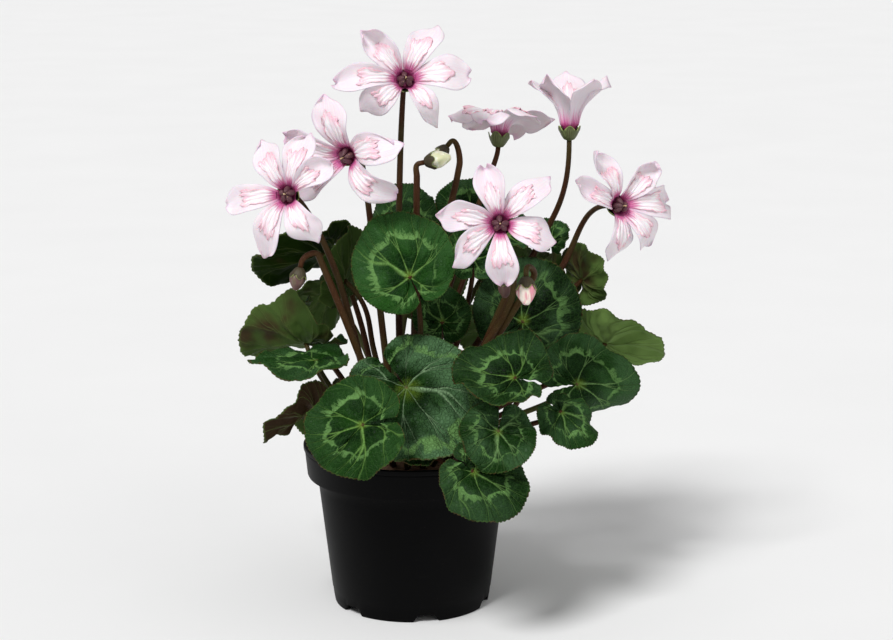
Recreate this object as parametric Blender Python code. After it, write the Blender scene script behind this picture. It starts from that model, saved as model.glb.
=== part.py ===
"""A potted cyclamen: pot, compost, corm, leaves on their stalks, flowers and buds.

Blender units are metres, +Z is up and the front of the plant faces -Y. The origin is the centre of the
pot's foot. Tables give plain sizes in millimetres and degrees.
"""

import math
from collections import namedtuple

import bmesh
import bpy
from mathutils import Matrix, Vector

MM = 0.001
UP = Vector((0, 0, 1))

# Pot
POT_TOP_RADIUS = 70.0
POT_HEIGHT = 106.0
POT_FOOT_RADIUS = 50.5
POT_WALL = 1.6
RIM_DEPTH = 21.0
RIM_STEP = 6.0
FLOOR_LIFT = 5.0
CENTRE_PAD_RADIUS = 21.0
FOOT_RING_WIDTH = 6.0
POT_SIDES = 40
DRAINS = 6
DRAIN_TURN = 11.5
DRAIN_WIDTHS = (11.0, 17.0)
DRAIN_TOP = 4.6
HOLE_RADIUS = 4.0

# Compost and corm
GAP = 0.4
COMPOST_TOP = 94.0
CORM_RADIUS = 31.0
CORM_TOP = 99.0
CORM_BOTTOM = 80.0
CORM_SIDES = 20

# Leaves
BLADE_THICKNESS = 0.9
BLADE_RAYS = 14
BLADE_RINGS = 3
SINUS_HALF_GAP = 5.0
STALK_SIDES = 5
STALK_STEPS = 6

# Flowers
PETAL_COLUMNS = 3
PETAL_ROWS = 4
PETAL_THICKNESS = 0.9
PETAL_TWIST = 0.3
PETAL_ROOM = 1.84
STEM_STEPS = 9
STRAIGHT_END = 3.0
CALYX_DROP = 2.4
THROAT_RADIUS = 4.6
TUBE_DEPTH = 4.5
TUBE_END_RADIUS = 2.6
SEPALS = 5
CALYX_RADIUS = 6.2
CALYX_END_RADIUS = 3.2
CALYX_DEPTH = 6.6
SEPAL_LENGTH = 3.6
CALYX_THICKNESS = 0.8

# Where a stalk leaves the corm: its bearing and its distance from the middle.
# Bearings run from the front (0) to the right (90) and the back (180).
Leaf = namedtuple("Leaf", "hub bearing lift turn size near far droop lobes hub_share root via wave",
                  defaults=(None, 1.5))
LEAVES = {
    # name: hub, blade facing (bearing, lift), turn of the tip, size,
    #       rise of the left and right halves, droop of the tip, rise of the lobes, hub share, root
    "leaf_01": Leaf((0, -46, 224), -5, 22, 208, 33, -8, -8, 6, -5, 0.30, (5, 9)),
    "leaf_02": Leaf((-58, 28, 225), -150, 55, 50, 38, 20, 10, 0, 10, 0.20, (-125, 15), (-34, 30, 180)),
    "leaf_03": Leaf((-6, 44, 240), -20, 30, 190, 24, -10, -10, 10, 0, 0.25, (-125, 9)),
    "leaf_04": Leaf((-42, -8, 214), -112, 12, 185, 27, 10, 30, 0, 0, 0.25, (-88, 9), (-24, 4, 165)),
    "leaf_05": Leaf((-67, -8, 173), 165, 62, 80, 35, 85, 45, 10, 15, 0.25, (-84, 21)),
    "leaf_06": Leaf((-59, -47, 171), 180, 84, 92, 32, -15, 10, 5, 10, 0.25, (-46, 21)),
    "leaf_07": Leaf((-62, -54, 140), -120, 55, 48, 27, 50, 10, 10, 0, 0.25, (-62, 26)),
    "leaf_08": Leaf((-28, -102, 144), -12, 32, -76, 32, -10, -6, 18, 0, 0.12, (-24, 27), (-22, -92, 116)),
    "leaf_09": Leaf((-2, -57, 156), 8, 45, 34, 45, 5, 5, 0, 30, 0.22, (-16, 15)),
    "leaf_10": Leaf((64, -76, 167), 2, 58, -115, 31, 20, 20, 0, 10, 0.22, (44, 21)),
    "leaf_11": Leaf((72, 4, 185), 6, 20, 150, 36, 0, -8, 5, 0, 0.20, (92, 15)),
    "leaf_12": Leaf((106, -24, 150), 20, 44, 98, 35, 0, -150, 5, 0, 0.28, (68, 26)),
    "leaf_13": Leaf((128, 40, 162), 152, 42, -105, 33, 15, 10, 0, 0, 0.25, (104, 25)),
    "leaf_14": Leaf((94, -60, 141), 24, 56, 35, 21, -20, -20, 30, 0, 0.25, (52, 28)),
    "leaf_15": Leaf((54, -92, 137), 12, 42, -15, 24, 10, 10, 10, 10, 0.10, (32, 27), (36, -58, 124)),
    "leaf_16": Leaf((39, -102, 115), 15, 40, 46, 28, 0, -6, 12, 0, 0.28, (16, 28)),
    "leaf_17": Leaf((40, 52, 244), 0, 28, 195, 24, 5, 5, 5, 0, 0.25, (172, 9)),
    "leaf_18": Leaf((92, 46, 231), -25, 32, 180, 12, 5, 5, 5, 0, 0.20, (118, 15)),
    "leaf_19": Leaf((77, 78, 204), 160, 40, 200, 24, 10, 10, 5, 0, 0.20, (140, 19)),
    "leaf_20": Leaf((112, 44, 204), 130, 8, 195, 21, 15, 15, 0, 0, 0.20, (116, 21)),
    "leaf_21": Leaf((62, 26, 237), 0, 62, 95, 17, 10, 10, 0, 0, 0.20, (136, 9)),
    "leaf_22": Leaf((40, 4, 226), 0, 30, 180, 19, 0, 0, 5, 0, 0.20, (64, 9)),
    "leaf_23": Leaf((20, -12, 188), 5, 20, 180, 19, 0, 0, 5, 0, 0.20, (10, 15)),
    "leaf_24": Leaf((4, -74, 126), 0, 62, 0, 17, 0, 0, 5, 0, 0.20, (-4, 28)),
    "leaf_25": Leaf((2, 70, 206), 178, 48, 0, 36, 0, 0, 20, 10, 0.28, (178, 16)),
    "leaf_26": Leaf((56, 96, 160), 150, 40, 0, 34, 0, 0, 20, 10, 0.28, (158, 24)),
    "leaf_27": Leaf((-56, 84, 188), -150, 48, 0, 30, 0, 0, 20, 10, 0.28, (-150, 20)),
    "leaf_28": Leaf((-84, 42, 180), -120, 58, 0, 28, 0, 0, 10, 10, 0.28, (-112, 20)),
    "leaf_29": Leaf((6, 108, 126), 178, 38, 0, 32, 0, 0, 20, 10, 0.28, (178, 27)),
    "leaf_30": Leaf((-50, 72, 118), -138, 42, 0, 30, 0, 0, 20, 10, 0.28, (-134, 26)),
}

Flower = namedtuple("Flower", "hub bearing lift petals width open flat root via", defaults=(None,))
FLOWERS = {
    # name: throat, facing (bearing, lift), petals (clockwise from the top, length),
    #       petal width, opening at the throat and at the tips, root
    "flower_1": Flower(
        (-3, -8, 341), 5, 20, ((21, 35), (80, 37), (138, 30), (228, 29), (274, 41), (319, 34)),
        24, 55, 95, (-95, 3.4)),
    "flower_2": Flower(
        (-38, -30, 297), -28, -5, ((-10, 36), (60, 38), (135, 36), (228, 40), (285, 36)),
        25, 50, 90, (-45, 9)),
    "flower_3": Flower(
        (-74, -52, 276), -12, 12, ((14, 35), (50, 31), (150, 30), (212, 36), (265, 36), (328, 33)),
        23, 55, 95, (-56, 15), (-44, -34, 218)),
    "flower_4": Flower(
        (57, 40, 301), 160, 74, ((0, 32), (60, 34), (120, 34), (180, 34), (240, 34), (300, 36)),
        24, 4, 104, (150, 3.4)),
    "flower_5": Flower(
        (101, 15, 309), 180, 86, ((36, 36), (108, 36), (180, 38), (252, 36), (324, 36)),
        23, 8, 34, (102, 9), (82, 34, 228)),
    "flower_6": Flower(
        (55, -82, 263), -2, 12, ((-16, 32), (34, 35), (100, 30), (178, 33), (240, 33), (286, 34)),
        24, 55, 95, (32, 15), (62, -50, 208)),
    "flower_7": Flower(
        (130, -20, 264), 30, 8, ((40, 30), (86, 38), (135, 35), (186, 31), (290, 33), (335, 34)),
        24, 55, 105, (84, 21), (96, 30, 212)),
}

Bud = namedtuple("Bud", "neck bearing lift length radius root via")
BUDS = {
    # name: neck of the bud, direction it points (bearing, lift), length, radius, root, way up
    "bud_1": Bud((9, -3, 289), 85, 12, 17, 5.0, (28, 3.4), (4, -3, 280)),
    "bud_2": Bud((23, 12, 297), -80, -50, 14, 4.2, (-156, 9), (31, 13, 285)),
    "bud_3": Bud((71, -74, 229), 0, -65, 17, 5.6, (54, 15), (76, -58, 226)),
    "bud_4": Bud((60, -38, 222), -20, -75, 13, 4.2, (74, 15), (66, -28, 222)),
    "bud_5": Bud((-67, -54, 231), -60, -75, 14, 4.6, (-36, 15), (-56, -50, 238)),
}

PEDUNCLE_RADII = (2.5, 1.6)
STALK_RADII = (2.2, 1.5)


def clear_scene():
    for old in list(bpy.data.objects):
        bpy.data.objects.remove(old)


def material(name, colour, roughness):
    made = bpy.data.materials.new(name)
    made.use_nodes = True
    shader = made.node_tree.nodes["Principled BSDF"]
    shader.inputs["Base Color"].default_value = (*colour, 1)
    shader.inputs["Roughness"].default_value = roughness
    made.diffuse_color = (*colour, 1)
    return made


def add_object(name, bm, finish, smooth=True):
    """Puts a bmesh, drawn in millimetres, in the scene as an object in metres."""
    bmesh.ops.scale(bm, vec=(MM, MM, MM), verts=bm.verts)
    mesh = bpy.data.meshes.new(name)
    bm.to_mesh(mesh)
    bm.free()
    if smooth:
        mesh.shade_smooth()
        mesh.set_sharp_from_angle(angle=math.radians(35))
    mesh.materials.append(finish)
    made = bpy.data.objects.new(name, mesh)
    bpy.context.scene.collection.objects.link(made)
    return made


def hide_helper(helper):
    helper.hide_render = True
    helper.display_type = "WIRE"


def outward(bearing):
    """The level direction at a bearing from the front, in degrees."""
    angle = math.radians(bearing)
    return Vector((math.sin(angle), -math.cos(angle), 0))


def facing(bearing, lift, turn):
    """Three axes: the first is the tip's way, the second its left and the third the way the face looks."""
    level, rise = outward(bearing), math.radians(lift)
    normal = math.cos(rise) * level + math.sin(rise) * UP
    downhill = math.sin(rise) * level - math.cos(rise) * UP
    tip = Matrix.Rotation(math.radians(turn), 3, normal) @ downhill
    return tip, normal.cross(tip), normal


def bezier(points, steps):
    """Points along one smooth curve through cubic Bezier control points."""
    a, b, c, d = points
    made = []
    for step in range(steps + 1):
        t = step / steps
        s = 1 - t
        made.append(s * s * s * a + 3 * s * s * t * b + 3 * s * t * t * c + t * t * t * d)
    return made


def stem_path(root, tip, arrival, via, steps, reach=0.35):
    """A stem's centre line from its place on the corm to its tip, which runs straight along a given way."""
    bearing, distance = root
    end = tip - arrival * STRAIGHT_END
    start = outward(bearing) * distance + UP * crown_height(distance)
    lean = outward(bearing) * distance / CORM_RADIUS
    if via is None:
        span = (end - start).length
        first = start + (UP + lean * 0.9).normalized() * span * 0.4
        return bezier((start, first, end - arrival * span * reach, end), steps) + [tip]
    via = Vector(via)
    first_span, last_span = (via - start).length, (end - via).length
    through = (end - start).normalized() * 0.35 + (via - start).normalized() * 0.65
    through.normalize()
    leaving = (UP + lean).normalized()
    lower = (start, start + leaving * first_span * 0.35, via - through * first_span * 0.3, via)
    upper = (via, via + through * last_span * 0.35, end - arrival * last_span * 0.45, end)
    return bezier(lower, steps // 2 + 1) + bezier(upper, steps // 2 + 1)[1:] + [tip]


def crown_height(distance):
    """Height at which a stem starts, just clear of the corm's domed top."""
    share = min(distance / CORM_RADIUS, 1)
    return COMPOST_TOP + (CORM_TOP - COMPOST_TOP) * math.sqrt(1 - share * share) + 2 * GAP


def sweep(bm, path, radii, sides):
    """A closed tube along a path, with one radius for each point of the path."""
    tangent = (path[1] - path[0]).normalized()
    side = tangent.orthogonal().normalized()
    rings = []
    last = len(path) - 1
    for i, point in enumerate(path):
        tangent = (path[min(i + 1, last)] - path[max(i - 1, 0)]).normalized()
        side = (side - tangent * side.dot(tangent)).normalized()
        frame = Matrix((side, tangent.cross(side), tangent)).transposed().to_4x4()
        frame.translation = point
        ring = bmesh.ops.create_circle(
            bm, cap_ends=i in (0, last), segments=sides, radius=radii[i], matrix=frame
        )["verts"]
        rings.append(ring)
    for lower, upper in zip(rings, rings[1:]):
        edges = ring_edges(lower) + ring_edges(upper)
        bmesh.ops.bridge_loops(bm, edges=edges)
    bmesh.ops.recalc_face_normals(bm, faces=bm.faces)


def ring_edges(ring):
    inside = set(ring)
    return list({e for v in ring for e in v.link_edges if e.other_vert(v) in inside})


def tapered(radii, count):
    start, end = radii
    return [start + (end - start) * i / (count - 1) for i in range(count)]


def turned(profile, sides, closed_profile=True):
    """A solid turned about Z from a profile of (radius, height) points."""
    bm = bmesh.new()
    verts = [bm.verts.new((radius, 0, height)) for radius, height in profile]
    pairs = list(zip(verts, verts[1:]))
    if closed_profile:
        pairs.append((verts[-1], verts[0]))
    edges = [bm.edges.new(pair) for pair in pairs]
    bmesh.ops.spin(
        bm, geom=verts + edges, axis=UP, cent=(0, 0, 0), angle=math.tau, steps=sides, use_merge=True
    )
    bmesh.ops.remove_doubles(bm, verts=bm.verts, dist=0.01)
    bmesh.ops.recalc_face_normals(bm, faces=bm.faces)
    return bm


def pot_outer_radius(height):
    """Radius of the pot's tapered outside wall below the rim band."""
    top = POT_TOP_RADIUS - RIM_STEP - 3
    return POT_FOOT_RADIUS + (top - POT_FOOT_RADIUS) * height / (POT_HEIGHT - RIM_DEPTH)


def make_pot(finish):
    step_height = POT_HEIGHT - RIM_DEPTH
    rim_low = POT_TOP_RADIUS - 2.5
    profile = [
        (0, 0),
        (CENTRE_PAD_RADIUS, 0),
        (CENTRE_PAD_RADIUS + 2, FLOOR_LIFT),
        (POT_FOOT_RADIUS - FOOT_RING_WIDTH, FLOOR_LIFT),
        (POT_FOOT_RADIUS - FOOT_RING_WIDTH + 1, 0),
        (POT_FOOT_RADIUS, 0),
        (pot_outer_radius(step_height), step_height),
        (rim_low, step_height + 1),
        (POT_TOP_RADIUS, POT_HEIGHT),
        (POT_TOP_RADIUS - POT_WALL, POT_HEIGHT),
        (rim_low - POT_WALL, step_height + 1 + POT_WALL),
        (pot_outer_radius(step_height) - POT_WALL, step_height + POT_WALL),
        (pot_outer_radius(FLOOR_LIFT) - POT_WALL, FLOOR_LIFT + POT_WALL),
        (0, FLOOR_LIFT + POT_WALL),
    ]
    pot = add_object("pot", turned(profile, POT_SIDES, closed_profile=False), finish)
    for index in range(DRAINS):
        bearing = DRAIN_TURN + index * 360 / DRAINS
        cut(pot, drain_notch(bearing), f"drain_notch_{index + 1}", finish)
        cut(pot, drain_hole(bearing + 180 / DRAINS), f"drain_hole_{index + 1}", finish)
    return pot


def cut(target, cutter_mesh, name, finish):
    cutter = add_object(name, cutter_mesh, finish, smooth=False)
    hide_helper(cutter)
    modifier = target.modifiers.new(name, "BOOLEAN")
    modifier.operation = "DIFFERENCE"
    modifier.object = cutter


def drain_notch(bearing):
    """A wedge that opens the foot ring at a bearing, wider at the bottom."""
    way = outward(bearing)
    side = UP.cross(way)
    middle = POT_FOOT_RADIUS - FOOT_RING_WIDTH / 2
    bm = bmesh.new()
    box = bmesh.ops.create_cube(bm, size=1)["verts"]
    for v in box:
        width = DRAIN_WIDTHS[0] if v.co.z > 0 else DRAIN_WIDTHS[1]
        height = DRAIN_TOP if v.co.z > 0 else -2
        v.co = way * (middle + v.co.x * FOOT_RING_WIDTH * 2) + side * v.co.y * width + UP * height
    bm.normal_update()
    bmesh.ops.recalc_face_normals(bm, faces=bm.faces)
    return bm


def drain_hole(bearing):
    """A round hole through the raised part of the floor."""
    place = outward(bearing) * (CENTRE_PAD_RADIUS + POT_FOOT_RADIUS - FOOT_RING_WIDTH) / 2
    bm = bmesh.new()
    bmesh.ops.create_cone(
        bm, cap_ends=True, segments=10, radius1=HOLE_RADIUS, radius2=HOLE_RADIUS, depth=12,
        matrix=Matrix.Translation(place + UP * FLOOR_LIFT),
    )
    return bm


def make_compost(finish):
    floor = FLOOR_LIFT + POT_WALL + GAP
    inner = GAP + POT_WALL
    dish = CORM_RADIUS + GAP
    step_height = POT_HEIGHT - RIM_DEPTH
    profile = [
        (0, floor),
        (pot_outer_radius(floor) - inner, floor),
        (pot_outer_radius(step_height) - inner, step_height + POT_WALL + 1.6 * GAP),
        (POT_TOP_RADIUS - 2.5 - inner - 0.6, step_height + POT_WALL + 5.5 * GAP),
        (POT_TOP_RADIUS - 1.5 - inner - 0.6, COMPOST_TOP - 2),
        (dish + 8, COMPOST_TOP),
        (dish, COMPOST_TOP - 1),
        (dish * 0.78, CORM_BOTTOM + 4.0),
        (0, CORM_BOTTOM - 2 * GAP),
    ]
    return add_object("compost", turned(profile, 24, closed_profile=False), finish)


def make_corm(finish):
    """A flattened corm, widest at the surface of the compost."""
    profile = [
        (0, CORM_BOTTOM),
        (CORM_RADIUS * 0.72, CORM_BOTTOM + 5),
        (CORM_RADIUS - 0.6, COMPOST_TOP - 1),
        (CORM_RADIUS * 0.8, COMPOST_TOP + (CORM_TOP - COMPOST_TOP) * 0.55),
        (CORM_RADIUS * 0.42, COMPOST_TOP + (CORM_TOP - COMPOST_TOP) * 0.88),
        (0, CORM_TOP),
    ]
    return add_object("corm", turned(profile, CORM_SIDES, closed_profile=False), finish)


def outline(leaf, angle):
    """Distance from the hub to the blade's edge, at an angle from the tip in radians."""
    share = leaf.hub_share
    reach = share * math.cos(angle) + math.sqrt(1 - (share * math.sin(angle)) ** 2)
    back = max(0.0, (abs(angle) - math.radians(140)) / math.radians(40))
    tip = 0.06 * math.exp(-((angle / 0.35) ** 2))
    return leaf.size * (reach * (1 - 0.32 * back * back) + tip)


def blade_point(leaf, axes, angle, share):
    """A point of the blade's middle surface, after its halves, tip and lobes have bent."""
    tip_way, left_way, normal = axes
    distance = outline(leaf, angle) * share
    along, across = distance * math.cos(angle), distance * math.sin(angle)
    rise = math.radians(leaf.near if across > 0 else leaf.far) / leaf.size
    across, height = bend(across, rise)
    droop = math.radians(-leaf.droop if along > 0 else leaf.lobes) / leaf.size
    height += leaf.wave * share**2 * math.sin(3 * angle + leaf.size)
    turn = along * droop
    along, sink = bend(along, droop)
    tilted = math.cos(turn) * normal - math.sin(turn) * tip_way
    return Vector(leaf.hub) + along * tip_way + across * left_way + sink * normal + height * tilted


def bend(length, curvature):
    """Where a flat length ends after it bends: how far along, and how far up."""
    if abs(curvature) < 1e-6:
        return length, 0.0
    return math.sin(length * curvature) / curvature, (1 - math.cos(length * curvature)) / curvature


def make_leaf(name, leaf, finish):
    axes = facing(leaf.bearing, leaf.lift, leaf.turn)
    bm = bmesh.new()
    bmesh.ops.create_grid(bm, x_segments=BLADE_RAYS, y_segments=BLADE_RINGS, size=0.5)
    span = math.pi - math.radians(SINUS_HALF_GAP)
    for v in bm.verts:
        v.co = blade_point(leaf, axes, 2 * v.co.x * span, v.co.y + 0.5)
    bmesh.ops.remove_doubles(bm, verts=bm.verts, dist=0.01)
    blade = add_object(name, bm, finish)
    thicken(blade, BLADE_THICKNESS)

    arrival = (axes[2] * 0.9 + axes[0] * 0.45).normalized()
    path = stem_path(leaf.root, Vector(leaf.hub) + arrival * 0.15, arrival, leaf.via, STALK_STEPS)
    bm = bmesh.new()
    sweep(bm, path, tapered(STALK_RADII, len(path)), STALK_SIDES)
    stalk = add_object(name + "_stalk", bm, finish)
    hide_helper(stalk)
    join = blade.modifiers.new("stalk", "BOOLEAN")
    join.operation = "UNION"
    join.object = stalk
    return blade


def sectors(bearings):
    """The share of a ring that each petal takes: from halfway to its neighbour to halfway to the next."""
    made = []
    for before, own, after in zip(bearings[-1:] + bearings[:-1], bearings, bearings[1:] + bearings[:1]):
        made.append((own - (own - before) % 360 / 2, own + (after - own) % 360 / 2))
    return made


def whorl(bm, axes, centre, bearings, columns, rows, ring, shape):
    """Petals or sepals in a ring, all joined at their feet and closed below by a tube."""
    ring_radius, tube_depth, end_radius = ring
    down, right, axis = axes

    def way(bearing):
        angle = math.radians(bearing)
        return math.sin(angle) * right - math.cos(angle) * down

    for index, (start, end) in enumerate(sectors(bearings)):
        made = bmesh.ops.create_grid(bm, x_segments=columns, y_segments=rows + 1, size=0.5)["verts"]
        for v in made:
            out = way(start + (end - start) * (v.co.x + 0.5))
            row = round((v.co.y + 0.5) * (rows + 1))
            if row == 0:
                v.co = centre + out * end_radius - axis * tube_depth
            elif row == 1:
                v.co = centre + out * ring_radius
            else:
                v.co = shape(index, way(bearings[index]), 2 * v.co.x, (row - 1) / rows)
    bmesh.ops.remove_doubles(bm, verts=bm.verts, dist=0.02)
    bottom = centre - axis * tube_depth
    rim = [e for e in bm.edges if e.is_boundary and is_near(e, bottom, end_radius + 0.1)]
    bmesh.ops.holes_fill(bm, edges=rim, sides=len(rim))
    bmesh.ops.recalc_face_normals(bm, faces=bm.faces)


def is_near(edge, place, distance):
    return all((v.co - place).length < distance for v in edge.verts)


def thicken(thing, thickness):
    modifier = thing.modifiers.new("thickness", "SOLIDIFY")
    modifier.thickness = thickness * MM
    modifier.offset = 0


def make_corolla(name, flower, finish):
    axes = facing(flower.bearing, flower.lift, 0)
    axis, centre = axes[2], Vector(flower.hub)
    bearings = [bearing for bearing, _ in flower.petals]
    rooms = [math.radians(min(own - start, end - own))
             for own, (start, end) in zip(bearings, sectors(bearings))]
    base_width = math.tau * THROAT_RADIUS / len(flower.petals)

    def shape(index, middle, across, along):
        swell = math.sin(math.pi * min(along * 0.62, 0.5))
        width = base_width + (flower.width - base_width) * swell
        width *= math.sqrt(1 - max(0, along - 0.6) ** 2 * 5.2)
        out, forward, lean = petal_line(flower, along, flower.petals[index][1])
        radius = THROAT_RADIUS + out
        offset = across * min(width, PETAL_ROOM * radius * math.tan(rooms[index])) / 2
        face = math.sin(lean) * axis - math.cos(lean) * middle
        side = middle.cross(axis) + face * PETAL_TWIST * min(1.0, 2.5 * along)
        return centre + middle * radius + axis * forward + side * offset

    bm = bmesh.new()
    ring = (THROAT_RADIUS, TUBE_DEPTH, TUBE_END_RADIUS)
    whorl(bm, axes, centre, bearings, PETAL_COLUMNS, PETAL_ROWS, ring, shape)
    corolla = add_object(name, bm, finish)
    thicken(corolla, PETAL_THICKNESS)
    return corolla


def petal_line(flower, along, length, steps=12):
    """How far a petal's middle line has gone out and forward at a share of its length, and its lean."""
    out = forward = lean = 0.0
    for step in range(steps):
        share = (step + 0.5) / steps * along
        lean = math.radians(flower.open + (flower.flat - flower.open) * min(1, share * 1.6))
        out += math.sin(lean) * along * length / steps
        forward += math.cos(lean) * along * length / steps
    return out, forward, lean


def make_calyx(name, flower, finish):
    axes = facing(flower.bearing, flower.lift, 0)
    axis = axes[2]
    centre = Vector(flower.hub) - axis * CALYX_DROP
    base_width = math.tau * CALYX_RADIUS / SEPALS

    def shape(index, middle, across, along):
        width = base_width * (1 - 0.85 * along)
        rise = axis * SEPAL_LENGTH * along * 0.4 + middle * (CALYX_RADIUS + along)
        return centre + rise + middle.cross(axis) * across * width / 2

    bm = bmesh.new()
    ring = (CALYX_RADIUS, CALYX_DEPTH, CALYX_END_RADIUS)
    bearings = [index * 360 / SEPALS for index in range(SEPALS)]
    whorl(bm, axes, centre, bearings, 2, 1, ring, shape)
    calyx = add_object(name, bm, finish)
    thicken(calyx, CALYX_THICKNESS)
    return calyx


def make_peduncle(name, flower, finish):
    axis = facing(flower.bearing, flower.lift, 0)[2]
    end = Vector(flower.hub) - axis * (CALYX_DROP + CALYX_DEPTH + CALYX_THICKNESS / 2 + GAP)
    path = stem_path(flower.root, end, axis, flower.via, STEM_STEPS, reach=0.07)
    bm = bmesh.new()
    sweep(bm, path, tapered(PEDUNCLE_RADII, len(path)), STALK_SIDES)
    return add_object(name, bm, finish)


def make_bud(name, bud, finish):
    """A bud and its hooked stem in one sweep: the tube swells into closed petals and ends in a point."""
    axis = facing(bud.bearing, bud.lift, 0)[2]
    neck = Vector(bud.neck)
    path = stem_path(bud.root, neck, axis, bud.via, STEM_STEPS)
    radii = tapered(PEDUNCLE_RADII, len(path))
    swell = [(0.12, 0.75), (0.35, 1.0), (0.62, 0.86), (0.88, 0.45), (1.0, 0.16)]
    path += [neck + axis * bud.length * share for share, _ in swell]
    radii += [bud.radius * share for _, share in swell]
    bm = bmesh.new()
    sweep(bm, path, radii, 6)
    return add_object(name, bm, finish)


def main():
    clear_scene()
    black = material("black plastic", (0.012, 0.013, 0.014), 0.42)
    peat = material("compost", (0.045, 0.026, 0.014), 0.95)
    brown = material("corm", (0.16, 0.085, 0.05), 0.8)
    green = material("leaf green", (0.028, 0.115, 0.03), 0.5)
    purple = material("stem brown", (0.13, 0.055, 0.03), 0.5)
    sepal = material("sepal green", (0.12, 0.17, 0.07), 0.55)
    petal = material("petal pink", (0.86, 0.68, 0.75), 0.5)
    cream = material("bud cream", (0.75, 0.68, 0.52), 0.5)
    make_pot(black)
    make_compost(peat)
    make_corm(brown)
    for name, leaf in LEAVES.items():
        make_leaf(name, leaf, green)
    for name, flower in FLOWERS.items():
        make_corolla(name + "_petals", flower, petal)
        make_calyx(name + "_calyx", flower, sepal)
        make_peduncle(name + "_stem", flower, purple)
    for name, bud in BUDS.items():
        make_bud(name, bud, cream)


main()
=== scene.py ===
# %% [markdown]
# # A potted cyclamen
# A cyclamen is a corm, half buried in a pot, that sends up leaves and flowers on long bare stalks.
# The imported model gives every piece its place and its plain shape. This script makes the same pieces again
# finely, with veins, puckers, toothed edges and crests, and gives each one a finish made of nodes.
# Everything is drawn in millimetres and scaled to metres when a piece is finished.

# %% Load the frame
import math
import random
from collections import namedtuple

import bmesh
import bpy
from mathutils import Matrix, Vector, noise


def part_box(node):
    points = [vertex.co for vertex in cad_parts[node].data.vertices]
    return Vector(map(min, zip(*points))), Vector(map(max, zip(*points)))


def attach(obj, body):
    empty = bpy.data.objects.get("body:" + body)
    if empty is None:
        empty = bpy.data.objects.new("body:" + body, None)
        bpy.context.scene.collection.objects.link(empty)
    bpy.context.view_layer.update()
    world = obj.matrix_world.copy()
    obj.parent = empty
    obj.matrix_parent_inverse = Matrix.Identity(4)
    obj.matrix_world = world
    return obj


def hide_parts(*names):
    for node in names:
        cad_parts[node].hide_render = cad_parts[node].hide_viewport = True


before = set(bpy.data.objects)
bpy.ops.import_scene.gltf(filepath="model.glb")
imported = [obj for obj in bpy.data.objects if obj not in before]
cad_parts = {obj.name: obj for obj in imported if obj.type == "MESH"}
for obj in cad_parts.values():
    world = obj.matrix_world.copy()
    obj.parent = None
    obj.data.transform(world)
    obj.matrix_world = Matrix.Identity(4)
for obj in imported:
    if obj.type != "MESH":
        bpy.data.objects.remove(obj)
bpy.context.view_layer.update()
MM = 0.001
UP = Vector((0, 0, 1))

# %% [markdown]
# ## The camera, the light and the floor
# The plant stands on a plain pale floor, as on a studio table. A long lens from a step back keeps its
# proportions natural. Area lamps close by would light the near leaves more than the far ones, so two sun
# lamps are used, whose light is even: a key from the upper left in front, wide enough to soften its shadows,
# and a weak fill from the right. The white room all round lights the rest.

# %% Camera and soft light
CAMERA_PLACE = (0.0228, -1.4, 0.49)
CAMERA_PITCH = math.radians(12.23)
LENS = 90.0

scene = bpy.context.scene
scene.view_settings.view_transform = "Standard"
camera = bpy.data.objects.new("camera", bpy.data.cameras.new("camera"))
camera.data.lens = LENS
camera.data.sensor_width = 36
camera.data.clip_end = 50
camera.location = CAMERA_PLACE
camera.rotation_euler = (math.radians(90) - CAMERA_PITCH, 0, 0)
scene.collection.objects.link(camera)
scene.camera = camera


def lamp(name, kind, heading, height, strength, spread):
    """A soft lamp. Heading and height are the bearing and the lift, in degrees, that its light comes from."""
    light = bpy.data.objects.new(name, bpy.data.lights.new(name, kind))
    light.data.energy = strength
    light.data.angle = math.radians(spread)
    light.rotation_euler = (math.radians(90 - height), 0, math.radians(heading))
    scene.collection.objects.link(light)


lamp("key", "SUN", -30, 50, 2.5, 18)
lamp("fill", "SUN", 45, 25, 0.45, 60)

world = bpy.data.worlds.new("room")
scene.world = world
world.use_nodes = True
world.node_tree.nodes["Background"].inputs["Color"].default_value = (1.0, 1.0, 1.0, 1)
world.node_tree.nodes["Background"].inputs["Strength"].default_value = 0.36
print("camera looks down by", round(math.degrees(CAMERA_PITCH), 1), "degrees")

# %% [markdown]
# ## Small helpers for materials
# A material is a tree of nodes. These helpers place a node, join it to others and give back its output, so
# that each finish below reads as a short recipe.

# %% Node helpers
def join(tree, value, socket):
    """Links an output to a socket, or sets the socket to a plain value."""
    if isinstance(value, bpy.types.NodeSocket):
        tree.links.new(value, socket)
    else:
        socket.default_value = value


def place(tree, kind, inputs=None, **settings):
    """Adds a shader node and fills its settings and its named inputs."""
    made = tree.nodes.new("ShaderNode" + kind)
    for key, value in settings.items():
        setattr(made, key, value)
    for key, value in (inputs or {}).items():
        join(tree, value, made.inputs[key])
    return made


def sums(tree, operation, *values):
    """A Math node."""
    made = place(tree, "Math", operation=operation)
    for value, socket in zip(values, made.inputs):
        join(tree, value, socket)
    return made.outputs[0]


def times(tree, first, second):
    return sums(tree, "MULTIPLY", first, second)


def step(tree, value, low, high, start=0.0, end=1.0):
    """A smooth step from start to end while value goes from low to high."""
    made = place(tree, "MapRange", interpolation_type="SMOOTHSTEP")
    for number, socket in zip((value, low, high, start, end), made.inputs):
        join(tree, number, socket)
    return made.outputs[0]


def mix(tree, share, first, second, blend="MIX"):
    """A colour between two others."""
    made = place(tree, "Mix", data_type="RGBA", blend_type=blend)
    join(tree, share, made.inputs[0])
    join(tree, first, made.inputs[6])
    join(tree, second, made.inputs[7])
    return made.outputs[2]


def speckle(tree, vector, scale, detail=2.0, roughness=0.5):
    """Soft noise, from 0 to 1."""
    inputs = {"Vector": vector, "Scale": scale, "Detail": detail, "Roughness": roughness}
    return place(tree, "TexNoise", inputs).outputs[0]


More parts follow.
